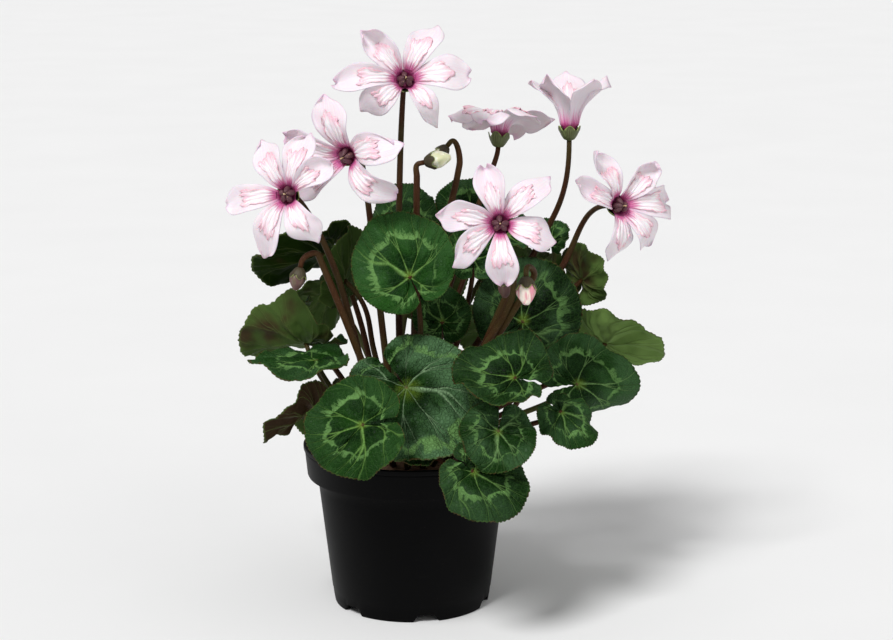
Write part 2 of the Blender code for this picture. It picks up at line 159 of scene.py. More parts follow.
def stretched(tree, vector, scale):
    """Coordinates stretched by a Mapping node."""
    return place(tree, "Mapping", {"Vector": vector, "Scale": scale}).outputs[0]


def object_coords(tree):
    return place(tree, "TexCoord").outputs["Object"]


def rgb(red, green, blue):
    return (red, green, blue, 1.0)


def new_finish(name, **settings):
    """A material, its tree and its Principled shader, with the settings that are the same all over."""
    material = bpy.data.materials.new(name)
    material.use_nodes = True
    tree = material.node_tree
    shader = tree.nodes["Principled BSDF"]
    for key, value in settings.items():
        shader.inputs[key.replace("_", " ").title().replace("Ior", "IOR")].default_value = value
    return material, tree, shader


def raise_surface(tree, shader, height, strength, distance):
    """Feeds a height to the shader's normal. The distance is in millimetres."""
    bump = place(tree, "Bump", {"Height": height, "Strength": strength, "Distance": distance * MM})
    tree.links.new(bump.outputs[0], shader.inputs["Normal"])


def new_group(name, inputs, outputs):
    """An empty node group with named sockets, and its input and output nodes."""
    tree = bpy.data.node_groups.new(name, "ShaderNodeTree")
    for title, kind, value in inputs:
        socket = tree.interface.new_socket(title, in_out="INPUT", socket_type="NodeSocket" + kind)
        if kind == "Float":
            socket.default_value = value
    for title, kind in outputs:
        tree.interface.new_socket(title, in_out="OUTPUT", socket_type="NodeSocket" + kind)
    return tree, tree.nodes.new("NodeGroupInput"), tree.nodes.new("NodeGroupOutput")


def use_group(tree, group, inputs):
    made = tree.nodes.new("ShaderNodeGroup")
    made.node_tree = group
    for key, value in inputs.items():
        join(tree, value, made.inputs[key])
    return made


print("node helpers ready")

# %% [markdown]
# ## Small helpers for shapes
# Each piece is drawn in a bmesh and finished in one place: scaled to metres, shaded smooth and put on the
# body that it rides on, and the plain solid that it stands for is hidden. Directions are given as a bearing
# from the front (0) to the right (90) and a lift above the level.

# %% Shape helpers
def finish_piece(name, bm, finishes, stands_for=None):
    """Puts a bmesh in the scene as a piece of the plant."""
    bmesh.ops.scale(bm, vec=(MM, MM, MM), verts=bm.verts)
    mesh = bpy.data.meshes.new(name)
    bm.to_mesh(mesh)
    bm.free()
    mesh.shade_smooth()
    for finish in finishes:
        mesh.materials.append(finish)
    piece = bpy.data.objects.new(name, mesh)
    scene.collection.objects.link(piece)
    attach(piece, "root")
    if stands_for:
        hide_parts(stands_for)
    return piece


def thicken(piece, thickness, back=0):
    """Gives a sheet its thickness, with the back in another of its materials."""
    modifier = piece.modifiers.new("thickness", "SOLIDIFY")
    modifier.thickness = thickness * MM
    modifier.offset = 0
    modifier.material_offset = back


def outward(bearing):
    angle = math.radians(bearing)
    return Vector((math.sin(angle), -math.cos(angle), 0))


def facing(bearing, lift, turn):
    """Three axes: the tip's way, the way to its left and the way that the face looks."""
    level, rise = outward(bearing), math.radians(lift)
    normal = math.cos(rise) * level + math.sin(rise) * UP
    downhill = math.sin(rise) * level - math.cos(rise) * UP
    tip = Matrix.Rotation(math.radians(turn), 3, normal) @ downhill
    return tip, normal.cross(tip), normal


def bezier(points, steps):
    """Points along one cubic Bezier curve."""
    a, b, c, d = points
    made = []
    for index in range(steps + 1):
        t = index / steps
        s = 1 - t
        made.append(s * s * s * a + 3 * s * s * t * b + 3 * s * t * t * c + t * t * t * d)
    return made


def sweep(bm, path, radii, sides, ripple=None):
    """A closed tube along a path. A ripple gives each point of each ring its own share of the radius."""
    side = (path[1] - path[0]).normalized().orthogonal().normalized()
    rings = []
    last = len(path) - 1
    for i, point in enumerate(path):
        tangent = (path[min(i + 1, last)] - path[max(i - 1, 0)]).normalized()
        side = (side - tangent * side.dot(tangent)).normalized()
        axes = Matrix((side, tangent.cross(side), tangent)).transposed().to_4x4()
        axes.translation = point
        ring = bmesh.ops.create_circle(
            bm, cap_ends=i in (0, last), segments=sides, radius=radii[i], matrix=axes
        )["verts"]
        if ripple:
            for k, vert in enumerate(ring):
                vert.co = point + (vert.co - point) * ripple(math.tau * k / sides, i / last)
        rings.append(ring)
    for lower, upper in zip(rings, rings[1:]):
        bmesh.ops.bridge_loops(bm, edges=ring_edges(lower) + ring_edges(upper))
    bmesh.ops.recalc_face_normals(bm, faces=bm.faces)


def ring_edges(ring):
    """The edges whose two ends are both in a ring of points."""
    inside = set(ring)
    return list({edge for vert in ring for edge in vert.link_edges if edge.other_vert(vert) in inside})


def tapered(radii, count):
    """Radii that change evenly from the first to the second."""
    start, end = radii
    return [start + (end - start) * i / (count - 1) for i in range(count)]


def sheet_grid(bm, columns, rows):
    """A grid from -0.5 to 0.5 with a UV map from 0 to 1, ready to be bent into a leaf or a petal."""
    return bmesh.ops.create_grid(bm, x_segments=columns, y_segments=rows, size=0.5, calc_uvs=True)["verts"]


def new_sheet():
    bm = bmesh.new()
    bm.loops.layers.uv.new("UVMap")
    return bm


print("shape helpers ready")

# %% [markdown]
# ## The floor
# A wide sheet of pale card, which catches the plant's shadow. A little noise in its colour keeps it from
# being one dead tone.

# %% Floor
def floor_card():
    material, tree, shader = new_finish("pale card", roughness=0.9)
    coords = object_coords(tree)
    cloud = speckle(tree, coords, 6.0)
    join(tree, mix(tree, cloud, rgb(0.86, 0.86, 0.86), rgb(0.9, 0.9, 0.9)), shader.inputs["Base Color"])
    return material


bm = bmesh.new()
bmesh.ops.create_grid(bm, x_segments=2, y_segments=2, size=40)
floor_mesh = bpy.data.meshes.new("floor")
bm.to_mesh(floor_mesh)
bm.free()
floor_mesh.materials.append(floor_card())
floor = bpy.data.objects.new("floor", floor_mesh)
scene.collection.objects.link(floor)
print("floor is", [round(side, 1) for side in floor.dimensions])

# %% [markdown]
# ## The pot
# A nursery pot is moulded in one piece from black plastic. It has a tapered wall, a deep band at the rim with
# a doubled lip, a small step under the band and another near the foot, and it stands on a foot ring with six
# notches that let water out. It is round, so its profile is spun about the upright axis. The notches are made
# by lifting the foot ring's lowest points over six short arcs, which leaves clean sloping sides. Between them
# the floor has six round holes, which a Boolean punches through both of its faces at once.

# %% Pot sizes
pot_low, pot_high = (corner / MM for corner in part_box("pot"))
POT_HEIGHT = pot_high.z
POT_TOP_RADIUS = (pot_high.x - pot_low.x) / 2
POT_FOOT_RADIUS = 50.5
POT_WALL = 1.6
RIM_DEPTH = 21.0
RIM_STEP = 6.0
FLOOR_LIFT = 5.0
CENTRE_PAD_RADIUS = 21.0
FOOT_RING_WIDTH = 6.0
DRAINS = 6
DRAIN_TURN = 11.5
DRAIN_WIDTHS = (11.0, 17.0)
DRAIN_TOP = 4.6
POT_STEPS = 240
print("pot:", round(POT_TOP_RADIUS, 1), "by", round(POT_HEIGHT, 1), "mm")


# %% Pot profile
def wall_radius(height):
    """Outside radius of the tapered wall below the rim band."""
    top = POT_TOP_RADIUS - RIM_STEP - 3
    return POT_FOOT_RADIUS + (top - POT_FOOT_RADIUS) * height / (POT_HEIGHT - RIM_DEPTH)


def pot_profile():
    step_height = POT_HEIGHT - RIM_DEPTH
    rim_low = POT_TOP_RADIUS - 2.5
    inner = wall_radius(FLOOR_LIFT) - POT_WALL
    return [
        (0, 0), (CENTRE_PAD_RADIUS - 0.6, 0), (CENTRE_PAD_RADIUS, 0.4), (CENTRE_PAD_RADIUS + 2, FLOOR_LIFT),
        (34, FLOOR_LIFT), (POT_FOOT_RADIUS - FOOT_RING_WIDTH, FLOOR_LIFT),
        (POT_FOOT_RADIUS - FOOT_RING_WIDTH + 0.9, 0.4), (POT_FOOT_RADIUS - FOOT_RING_WIDTH + 1.4, 0),
        (POT_FOOT_RADIUS - 0.9, 0), (POT_FOOT_RADIUS - 0.2, 0.5),
        (wall_radius(5.0), 5.0), (wall_radius(10), 10), (wall_radius(10) + 0.3, 10.5),
        (wall_radius(step_height - 8), step_height - 8), (wall_radius(step_height - 1.5), step_height - 1.6),
        (wall_radius(step_height) + 0.6, step_height - 0.6), (rim_low - 2.0, step_height),
        (rim_low - 0.5, step_height + 0.5), (rim_low, step_height + 1.6),
        (POT_TOP_RADIUS - 1.0, POT_HEIGHT - 5.2), (POT_TOP_RADIUS - 0.7, POT_HEIGHT - 4.4),
        (POT_TOP_RADIUS - 0.9, POT_HEIGHT - 3.8), (POT_TOP_RADIUS - 0.1, POT_HEIGHT - 2.9),
        (POT_TOP_RADIUS, POT_HEIGHT - 0.6), (POT_TOP_RADIUS - 0.5, POT_HEIGHT),
        (POT_TOP_RADIUS - POT_WALL, POT_HEIGHT), (POT_TOP_RADIUS - POT_WALL - 0.4, POT_HEIGHT - 0.6),
        (rim_low - POT_WALL, step_height + 1 + POT_WALL),
        (wall_radius(step_height) - POT_WALL, step_height + POT_WALL),
        (inner, FLOOR_LIFT + POT_WALL), (30, FLOOR_LIFT + POT_WALL), (0, FLOOR_LIFT + POT_WALL),
    ]


def turned(profile, steps):
    """A closed solid spun about the upright axis from a profile of radii and heights."""
    bm = bmesh.new()
    verts = [bm.verts.new((radius, 0, height)) for radius, height in profile]
    edges = [bm.edges.new(pair) for pair in zip(verts, verts[1:])]
    bmesh.ops.spin(
        bm, geom=verts + edges, axis=UP, cent=(0, 0, 0), angle=math.tau, steps=steps, use_merge=True
    )
    bmesh.ops.remove_doubles(bm, verts=bm.verts, dist=0.01)
    bmesh.ops.recalc_face_normals(bm, faces=bm.faces)
    return bm


def drain_lift(place_mm):
    """How far a point of the foot ring is lifted by the nearest drain notch."""
    bearing = math.degrees(math.atan2(place_mm.x, -place_mm.y)) - DRAIN_TURN
    spacing = 360 / DRAINS
    off = (bearing + spacing / 2) % spacing - spacing / 2
    across = abs(math.radians(off)) * place_mm.xy.length * 2
    narrow, wide = DRAIN_WIDTHS
    return DRAIN_TOP * min(1.0, max(0.0, (wide - across) / (wide - narrow)))


# %% Black moulded plastic
def moulded_plastic():
    material, tree, shader = new_finish("black moulded plastic", specular_ior_level=0.05)
    coords = object_coords(tree)
    cloud = speckle(tree, coords, 22.0, 4.0)
    dust = step(tree, speckle(tree, coords, 900.0, 2.0, 0.7), 0.66, 0.78)
    scuff = step(tree, speckle(tree, stretched(tree, coords, (60, 60, 900)), 1.0, 3.0), 0.60, 0.75)
    dusty = times(tree, dust, step(tree, cloud, 0.45, 0.7))
    base = mix(tree, cloud, rgb(0.0010, 0.0010, 0.0011), rgb(0.0020, 0.0020, 0.0022))
    base = mix(tree, times(tree, scuff, 0.25), base, rgb(0.007, 0.007, 0.0075))
    base = mix(tree, times(tree, dusty, 0.35), base, rgb(0.06, 0.05, 0.04))
    join(tree, base, shader.inputs["Base Color"])
    rough = sums(tree, "ADD", 0.40, times(tree, cloud, 0.16))
    join(tree, sums(tree, "ADD", rough, times(tree, dusty, 0.3)), shader.inputs["Roughness"])
    raise_surface(tree, shader, speckle(tree, coords, 700.0, 2.0), 0.12, 0.15)
    return material


black_plastic = moulded_plastic()
bm = turned(pot_profile(), POT_STEPS)
for vert in bm.verts:
    low = vert.co.z < 0.6 and vert.co.xy.length > POT_FOOT_RADIUS - FOOT_RING_WIDTH + 0.5
    if low:
        vert.co.z += max(0.0, drain_lift(vert.co) - vert.co.z)
pot = finish_piece("pot_shell", bm, [black_plastic], "pot")
print("pot faces before its holes:", len(pot.data.polygons))


# %% Drain holes
HOLE_RADIUS = 4.0


def punch(piece, cutters):
    """Cuts closed shapes, drawn in a bmesh, out of a piece, and keeps only the result."""
    bmesh.ops.scale(cutters, vec=(MM, MM, MM), verts=cutters.verts)
    mesh = bpy.data.meshes.new("punch")
    cutters.to_mesh(mesh)
    cutters.free()
    tool = bpy.data.objects.new("punch", mesh)
    scene.collection.objects.link(tool)
    modifier = piece.modifiers.new("holes", "BOOLEAN")
    modifier.operation = "DIFFERENCE"
    modifier.object = tool
    cut = piece.evaluated_get(bpy.context.evaluated_depsgraph_get())
    piece.data = bpy.data.meshes.new_from_object(cut)
    piece.modifiers.clear()
    bpy.data.objects.remove(tool)


bm = bmesh.new()
for index in range(DRAINS):
    bearing = DRAIN_TURN + (index + 0.5) * 360 / DRAINS
    spot = outward(bearing) * (CENTRE_PAD_RADIUS + POT_FOOT_RADIUS - FOOT_RING_WIDTH) / 2 + UP * FLOOR_LIFT
    bmesh.ops.create_cone(
        bm, cap_ends=True, segments=40, radius1=HOLE_RADIUS, radius2=HOLE_RADIUS, depth=8,
        matrix=Matrix.Translation(spot),
    )
punch(pot, bm)
pot.data.set_sharp_from_angle(angle=math.radians(40))
print("pot faces:", len(pot.data.polygons))

# %% [markdown]
# ## The compost
# Peat compost is a crumbly dark brown surface with coarse fibres in it. Its body is spun like the pot and its
# top is roughened with noise. Crumbs and fibres are scattered over it, each of only a few faces, because
# there are hundreds of them.

# %% Compost body
COMPOST_TOP = 94.0
CORM_RADIUS = 31.0
CORM_TOP = 99.0
compost_low, compost_high = (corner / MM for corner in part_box("compost"))
random.seed(7)


def peat():
    material, tree, shader = new_finish("peat", roughness=0.95, specular_ior_level=0.2)
    coords = object_coords(tree)
    crumbs = speckle(tree, coords, 420.0, 5.0, 0.7)
    wet = speckle(tree, coords, 60.0, 3.0)
    base = mix(tree, crumbs, rgb(0.010, 0.005, 0.003), rgb(0.060, 0.030, 0.017))
    base = mix(tree, step(tree, wet, 0.45, 0.65, 0.0, 0.5), base, rgb(0.018, 0.010, 0.006))
    join(tree, base, shader.inputs["Base Color"])
    raise_surface(tree, shader, crumbs, 0.9, 1.2)
    return material


def peat_height(x, y):
    """Height of the roughened compost at a place."""
    rough = noise.fractal(Vector((x, y, 0)) * 0.12, 1.0, 2.0, 4)
    return COMPOST_TOP - 2.2 + 1.5 * rough


peat_finish = peat()
outer = wall_radius(COMPOST_TOP - 10) + 3
rings = [CORM_RADIUS + 1 + (outer - CORM_RADIUS - 1) * share / 14 for share in range(15)]
profile = [(0, compost_low.z), (wall_radius(7) - 2.2, compost_low.z), (wall_radius(84) - 2.2, 86.5)]
profile += [(outer, 88.5)] + [(radius, COMPOST_TOP - 2) for radius in reversed(rings)]
profile += [(CORM_RADIUS * 0.78, 84.5), (0, 79.0)]
bm = turned(profile, 120)
for vert in bm.verts:
    if vert.co.z > COMPOST_TOP - 3:
        vert.co.z = peat_height(vert.co.x, vert.co.y)
finish_piece("compost_body", bm, [peat_finish], "compost")
print("compost top at", round(compost_high.z, 1), "mm")

# %% Crumbs and fibres
def scatter_crumbs(count):
    bm = bmesh.new()
    for _ in range(count):
        angle, radius = random.uniform(0, math.tau), math.sqrt(random.uniform(34**2, 63**2))
        x, y = radius * math.cos(angle), radius * math.sin(angle)
        size = random.uniform(0.5, 1.7)
        turn = Matrix.Rotation(random.uniform(0, math.tau), 4, Vector((1, random.random(), 1)).normalized())
        squash = Matrix.Diagonal((1, random.uniform(0.5, 1), random.uniform(0.5, 0.9), 1))
        spot = Matrix.Translation((x, y, peat_height(x, y) + size * 0.2))
        bmesh.ops.create_icosphere(bm, subdivisions=1, radius=size, matrix=spot @ turn @ squash)
    return bm


def scatter_fibres(count):
    bm = bmesh.new()
    for _ in range(count):
        angle, radius = random.uniform(0, math.tau), math.sqrt(random.uniform(36**2, 62**2))
        spot = Vector((radius * math.cos(angle), radius * math.sin(angle), 0))
        way = Vector((random.uniform(-1, 1), random.uniform(-1, 1), random.uniform(-0.1, 0.3)))
        bend = Vector((random.uniform(-1, 1), random.uniform(-1, 1), random.uniform(0, 1)))
        path = []
        for index in range(5):
            at = spot + way * (index - 2) * 1.6 + bend * (index - 2) ** 2 * 0.22
            height = max(peat_height(at.x, at.y) + 0.2, at.z + peat_height(spot.x, spot.y))
            path.append(Vector((at.x, at.y, height)))
        sweep(bm, path, [0.18, 0.26, 0.28, 0.24, 0.12], 4)
    return bm


def fibre_brown():
    material, tree, shader = new_finish("coarse fibre", roughness=0.8)
    coords = object_coords(tree)
    base = mix(tree, speckle(tree, coords, 160.0), rgb(0.05, 0.018, 0.008), rgb(0.22, 0.10, 0.045))
    join(tree, base, shader.inputs["Base Color"])
    return material


crumbs = finish_piece("compost_crumbs", scatter_crumbs(420), [peat_finish])
fibres = finish_piece("compost_fibres", scatter_fibres(110), [fibre_brown()])
print("crumb faces:", len(crumbs.data.polygons), "fibre faces:", len(fibres.data.polygons))

# %% [markdown]
# ## The corm
# The corm is a flat round storage organ with a corky skin and a knobbly crown, where old stalks have left
# scars.
# It is spun and then pushed in and out by noise, equally all over.

# %% Corm
def cork():
    material, tree, shader = new_finish("corky skin", roughness=0.85)
    coords = object_coords(tree)
    scales = speckle(tree, coords, 240.0, 5.0, 0.65)
    base = mix(tree, scales, rgb(0.05, 0.022, 0.012), rgb(0.24, 0.13, 0.075))
    join(tree, base, shader.inputs["Base Color"])
    raise_surface(tree, shader, scales, 0.8, 0.8)
    return material


profile = [(0, 80), (12, 81.5), (CORM_RADIUS * 0.72, 85), (CORM_RADIUS - 1.2, 90)]
profile.append((CORM_RADIUS - 0.7, COMPOST_TOP))
for share in (0.95, 0.85, 0.7, 0.5, 0.3, 0.15, 0.0):
    dome = (CORM_TOP - COMPOST_TOP) * math.sqrt(1 - share**2)
    profile.append((CORM_RADIUS * share * 0.98, COMPOST_TOP + dome))
bm = turned(profile, 96)
for vert in bm.verts:
    rough = noise.fractal(vert.co * 0.18, 1.0, 2.0, 3)
    vert.co += (vert.co - Vector((0, 0, 88))).normalized() * 0.7 * rough
corm = finish_piece("corm_body", bm, [cork()], "corm")
print("corm is", round(corm.dimensions.x / MM), "mm across")

# %% [markdown]
# ## Where every leaf is
# Each leaf is given by its hub, the way its blade faces, its size, and how its halves, tip and lobes bend.
# The numbers are the model's own, in millimetres and degrees, so the fine leaves lie on the plain ones.

# %% The leaves
Leaf = namedtuple("Leaf", "hub bearing lift turn size near far droop lobes hub_share root via",
                  defaults=(None,))
LEAVES = {
    # name: hub, blade facing (bearing, lift), turn of the tip, size,
    #       rise of the left and right halves, droop of the tip, rise of the lobes, hub share, root
    "leaf_01": Leaf((0, -46, 224), -5, 22, 208, 33, -8, -8, 6, -5, 0.30, (5, 9)),
    "leaf_02": Leaf((-58, 28, 225), -150, 55, 50, 38, 20, 10, 0, 10, 0.20, (-125, 15), (-34, 30, 180)),
    "leaf_03": Leaf((-6, 44, 240), -20, 30, 190, 24, -10, -10, 10, 0, 0.25, (-125, 9)),
    "leaf_04": Leaf((-42, -8, 214), -112, 12, 185, 27, 10, 30, 0, 0, 0.25, (-88, 9), (-24, 4, 165)),
    "leaf_05": Leaf((-67, -8, 173), 165, 62, 80, 35, 85, 45, 10, 15, 0.25, (-84, 21)),
    "leaf_06": Leaf((-59, -47, 171), 180, 84, 92, 32, -15, 10, 5, 10, 0.25, (-46, 21)),
    "leaf_07": Leaf((-62, -54, 140), -120, 55, 48, 27, 50, 10, 10, 0, 0.25, (-62, 26)),
    "leaf_08": Leaf((-28, -102, 144), -12, 32, -76, 32, -10, -6, 18, 0, 0.12, (-24, 27), (-22, -92, 116)),
    "leaf_09": Leaf((-2, -57, 156), 8, 45, 34, 45, 5, 5, 0, 30, 0.22, (-16, 15)),
    "leaf_10": Leaf((64, -76, 167), 2, 58, -115, 31, 20, 20, 0, 10, 0.22, (44, 21)),
    "leaf_11": Leaf((72, 4, 185), 6, 20, 150, 36, 0, -8, 5, 0, 0.20, (92, 15)),
    "leaf_12": Leaf((106, -24, 150), 20, 44, 98, 35, 0, -150, 5, 0, 0.28, (68, 26)),
    "leaf_13": Leaf((128, 40, 162), 152, 42, -105, 33, 15, 10, 0, 0, 0.25, (104, 25)),
    "leaf_14": Leaf((94, -60, 141), 24, 56, 35, 21, -20, -20, 30, 0, 0.25, (52, 28)),
    "leaf_15": Leaf((54, -92, 137), 12, 42, -15, 24, 10, 10, 10, 10, 0.10, (32, 27), (36, -58, 124)),
    "leaf_16": Leaf((39, -102, 115), 15, 40, 46, 28, 0, -6, 12, 0, 0.28, (16, 28)),
    "leaf_17": Leaf((40, 52, 244), 0, 28, 195, 24, 5, 5, 5, 0, 0.25, (172, 9)),
    "leaf_18": Leaf((92, 46, 231), -25, 32, 180, 12, 5, 5, 5, 0, 0.20, (118, 15)),
    "leaf_19": Leaf((77, 78, 204), 160, 40, 200, 24, 10, 10, 5, 0, 0.20, (140, 19)),
    "leaf_20": Leaf((112, 44, 204), 130, 8, 195, 21, 15, 15, 0, 0, 0.20, (116, 21)),
    "leaf_21": Leaf((62, 26, 237), 0, 62, 95, 17, 10, 10, 0, 0, 0.20, (136, 9)),
    "leaf_22": Leaf((40, 4, 226), 0, 30, 180, 19, 0, 0, 5, 0, 0.20, (64, 9)),
    "leaf_23": Leaf((20, -12, 188), 5, 20, 180, 19, 0, 0, 5, 0, 0.20, (10, 15)),
    "leaf_24": Leaf((4, -74, 126), 0, 62, 0, 17, 0, 0, 5, 0, 0.20, (-4, 28)),
    "leaf_25": Leaf((2, 70, 206), 178, 48, 0, 36, 0, 0, 20, 10, 0.28, (178, 16)),
    "leaf_26": Leaf((56, 96, 160), 150, 40, 0, 34, 0, 0, 20, 10, 0.28, (158, 24)),
    "leaf_27": Leaf((-56, 84, 188), -150, 48, 0, 30, 0, 0, 20, 10, 0.28, (-150, 20)),
    "leaf_28": Leaf((-84, 42, 180), -120, 58, 0, 28, 0, 0, 10, 10, 0.28, (-112, 20)),
    "leaf_29": Leaf((6, 108, 126), 178, 38, 0, 32, 0, 0, 20, 10, 0.28, (178, 27)),
    "leaf_30": Leaf((-50, 72, 118), -138, 42, 0, 30, 0, 0, 20, 10, 0.28, (-134, 26)),
}
print("leaves:", len(LEAVES))

# %% [markdown]
# ## The shape of a blade
# A blade is a heart drawn round its hub, in polar steps: an angle from the tip and a share of the way out.
# The outline, the bends and the stalk's line are the plain model's. On top of them come the veins, which are
# sunk into the upper side, the puckers between them, the frilled margin and its small teeth.

# %% Blade and vein shape
SINUS_HALF_GAP = 5.0
BLADE_THICKNESS = 0.55
BLADE_RAYS = 240
BLADE_RINGS = 22
VEINS = 7
FORK_AT = 0.36
FORK_SPREAD = 0.27
TWIG_AT = 0.62
TWIG_SPREAD = 0.12
TIPWARD = 0.5
CELL_WIDTH = 0.92 * math.tau / VEINS
VEIN_WAVES = (0.22, 0.10, 0.05)
VEIN_SINK, FORK_SINK = 0.8, 0.3
PUCKER, QUILT = 2.6, 1.8
PUCKER_SPREAD = 4.0
FULL_PUCKER_SIZE = 38
FRILL, WAVE, CRIMP = 6.5, 1.8, 1.2
TOOTH_SHAPE = (-0.25, 0.32, 0.12)


def outline(leaf, angle):
    """Distance from the hub to the blade's edge, at an angle from the tip."""
    share = leaf.hub_share
    reach = share * math.cos(angle) + math.sqrt(1 - (share * math.sin(angle)) ** 2)
    back = max(0.0, (abs(angle) - math.radians(140)) / math.radians(40))
    tip = 0.06 * math.exp(-((angle / 0.35) ** 2))
    return leaf.size * (reach * (1 - 0.32 * back * back) + tip)


def bend(length, curvature):
    """Where a flat length ends after it bends: how far along, and how far up."""
    if abs(curvature) < 1e-6:
        return length, 0.0
    return math.sin(length * curvature) / curvature, (1 - math.cos(length * curvature)) / curvature


def vein_shift(turn, reach, phase):
    """How far the veins wander from even spacing. The leaf's finish uses the same sum of waves."""
    slow, quick, fine = VEIN_WAVES
    wander = slow * math.sin(4 * math.pi * turn + phase) + quick * math.sin(10 * math.pi * turn + 2.3 * phase)
    wander -= TIPWARD * reach * math.sin(math.tau * turn)
    return wander + fine * math.sin(7 * reach + 3 * phase + 6 * turn)


def vein_distance(turn, reach, size, phase):
    """Distance in millimetres to the nearest main vein, and to the nearest main vein or fork."""
    cell = CELL_WIDTH * size * reach
    main = abs((VEINS * turn + vein_shift(turn, reach, phase)) % 1.0 - 0.5)
    fork = FORK_SPREAD * max(0.0, (reach - FORK_AT) / (1 - FORK_AT)) ** 0.7
    return main * cell, min(main, abs(main - fork)) * cell


def blade_relief(leaf, turn, reach, phase):
    """How far the surface stands above the plain blade."""
    main, any_vein = vein_distance(turn, reach, leaf.size, phase)
    sunk = VEIN_SINK * math.exp(-((main / 1.1) ** 2)) + FORK_SINK * math.exp(-((any_vein / 0.9) ** 2))
    pucker = PUCKER * min(1.0, leaf.size / FULL_PUCKER_SIZE)
    pucker *= 1 - math.exp(-((any_vein / PUCKER_SPREAD) ** 2))
    spot = Vector((math.cos(math.tau * turn), math.sin(math.tau * turn), 0)) * reach
    quilt = QUILT * noise.fractal(spot * leaf.size * 0.11 + UP * phase * 7, 1.0, 2.0, 3)
    frill = FRILL * reach**2 * noise.noise(spot * 1.6 + UP * phase * 5)
    frill += WAVE * reach**4 * math.sin(5 * math.tau * turn + phase * 5)
    frill += CRIMP * reach**6 * math.sin(11 * math.tau * turn + phase * 9)
    return (pucker - sunk + quilt) * min(1.0, 3 * reach) * (0.9 - 0.5 * reach**4) + frill


def blade_point(leaf, axes, angle, share, relief):
    """A point of the blade, after its halves, tip and lobes have bent."""
    tip_way, left_way, normal = axes
    distance = outline(leaf, angle) * share
    along, across = distance * math.cos(angle), distance * math.sin(angle)
    across, height = bend(across, math.radians(leaf.near if across > 0 else leaf.far) / leaf.size)
    droop = math.radians(-leaf.droop if along > 0 else leaf.lobes) / leaf.size
    height += 1.5 * share**2 * math.sin(3 * angle + leaf.size) + relief
    lean = along * droop
    along, sink = bend(along, droop)
    tilted = math.cos(lean) * normal - math.sin(lean) * tip_way
    return Vector(leaf.hub) + along * tip_way + across * left_way + sink * normal + height * tilted


print("distance to a vein half way out:", [round(d, 2) for d in vein_distance(0.55, 0.5, 35, 1.0)], "mm")

# %% [markdown]
# ## The leaf's finish
# The upper side is dark green. Two thirds of the way out lies a zone of paler green, smooth inside and
# feathered outside, broken where the main veins cross it. The veins are paler too and fork twice. Many leaves
# have a silvery bloom outside the zone. All this follows the leaf, so it is drawn in the blade's own UV map:
# its first number is the turn round the hub and its second is the share of the way out. The vein pattern is
# a node group, because the upper side and the underside both use it.

# %% Vein group
def vein_group():
    """Masks for the veins of a blade, from its UV map. Distances are in millimetres."""
    tree, given, result = new_group(
        "leaf veins",
        [("UV", "Vector", None), ("Size", "Float", 35.0), ("Phase", "Float", 1.0)],
        [("Vein", "Float"), ("Main", "Float"), ("Between", "Float"), ("Cell", "Float")],
    )
    parts = place(tree, "SeparateXYZ", {"Vector": given.outputs["UV"]})
    turn, reach, phase = parts.outputs[0], parts.outputs[1], given.outputs["Phase"]
    slow, quick, fine = VEIN_WAVES
    wander = times(tree, sums(tree, "SINE", sums(tree, "MULTIPLY_ADD", turn, 4 * math.pi, phase)), slow)
    second = sums(tree, "MULTIPLY_ADD", turn, 10 * math.pi, times(tree, phase, 2.3))
    wander = sums(tree, "MULTIPLY_ADD", sums(tree, "SINE", second), quick, wander)
    third = sums(tree, "MULTIPLY_ADD", reach, 7.0, times(tree, phase, 3.0))
    third = sums(tree, "SINE", sums(tree, "MULTIPLY_ADD", turn, 6.0, third))
    wander = sums(tree, "MULTIPLY_ADD", third, fine, wander)
    inward = times(tree, sums(tree, "SINE", times(tree, turn, math.tau)), reach)
    wander = sums(tree, "MULTIPLY_ADD", inward, -TIPWARD, wander)
    cell_width = times(tree, times(tree, given.outputs["Size"], CELL_WIDTH), reach)
    along_rim = sums(tree, "MULTIPLY_ADD", turn, VEINS, wander)
    main = sums(tree, "ABSOLUTE", sums(tree, "SUBTRACT", sums(tree, "FLOORED_MODULO", along_rim, 1.0), 0.5))

    def spread(start, amount, power):
        share = sums(tree, "DIVIDE", sums(tree, "SUBTRACT", reach, start), 1 - start)
        share = sums(tree, "MAXIMUM", share, 0.0)
        return times(tree, sums(tree, "POWER", share, power), amount)

    branch = sums(tree, "ABSOLUTE", sums(tree, "SUBTRACT", main, spread(FORK_AT, FORK_SPREAD, 0.7)))
    twig = sums(tree, "ABSOLUTE", sums(tree, "SUBTRACT", branch, spread(TWIG_AT, TWIG_SPREAD, 0.8)))
    main_mm = times(tree, main, cell_width)
    branch_mm = times(tree, branch, cell_width)
    twig_mm = times(tree, twig, cell_width)
    thick = sums(tree, "MULTIPLY_ADD", reach, -0.60, 1.15)
    trunk_edge = times(tree, thick, step(tree, reach, 0.45, 0.8, 1.0, 0.55))
    trunk = step(tree, main_mm, 0.0, trunk_edge, 1.0, 0.0)
    limb = times(tree, step(tree, branch_mm, 0.0, times(tree, thick, 0.8), 1.0, 0.0), 0.85)
    spray = times(tree, step(tree, twig_mm, 0.0, 0.35, 1.0, 0.0), 0.26)
    join(tree, sums(tree, "MAXIMUM", sums(tree, "MAXIMUM", trunk, limb), spray), result.inputs["Vein"])
    join(tree, trunk, result.inputs["Main"])
    join(tree, main, result.inputs["Between"])
    join(tree, sums(tree, "FLOOR", sums(tree, "ADD", along_rim, 0.5)), result.inputs["Cell"])
    return tree


LEAF_VEINS = vein_group()
print("vein group nodes:", len(LEAF_VEINS.nodes))


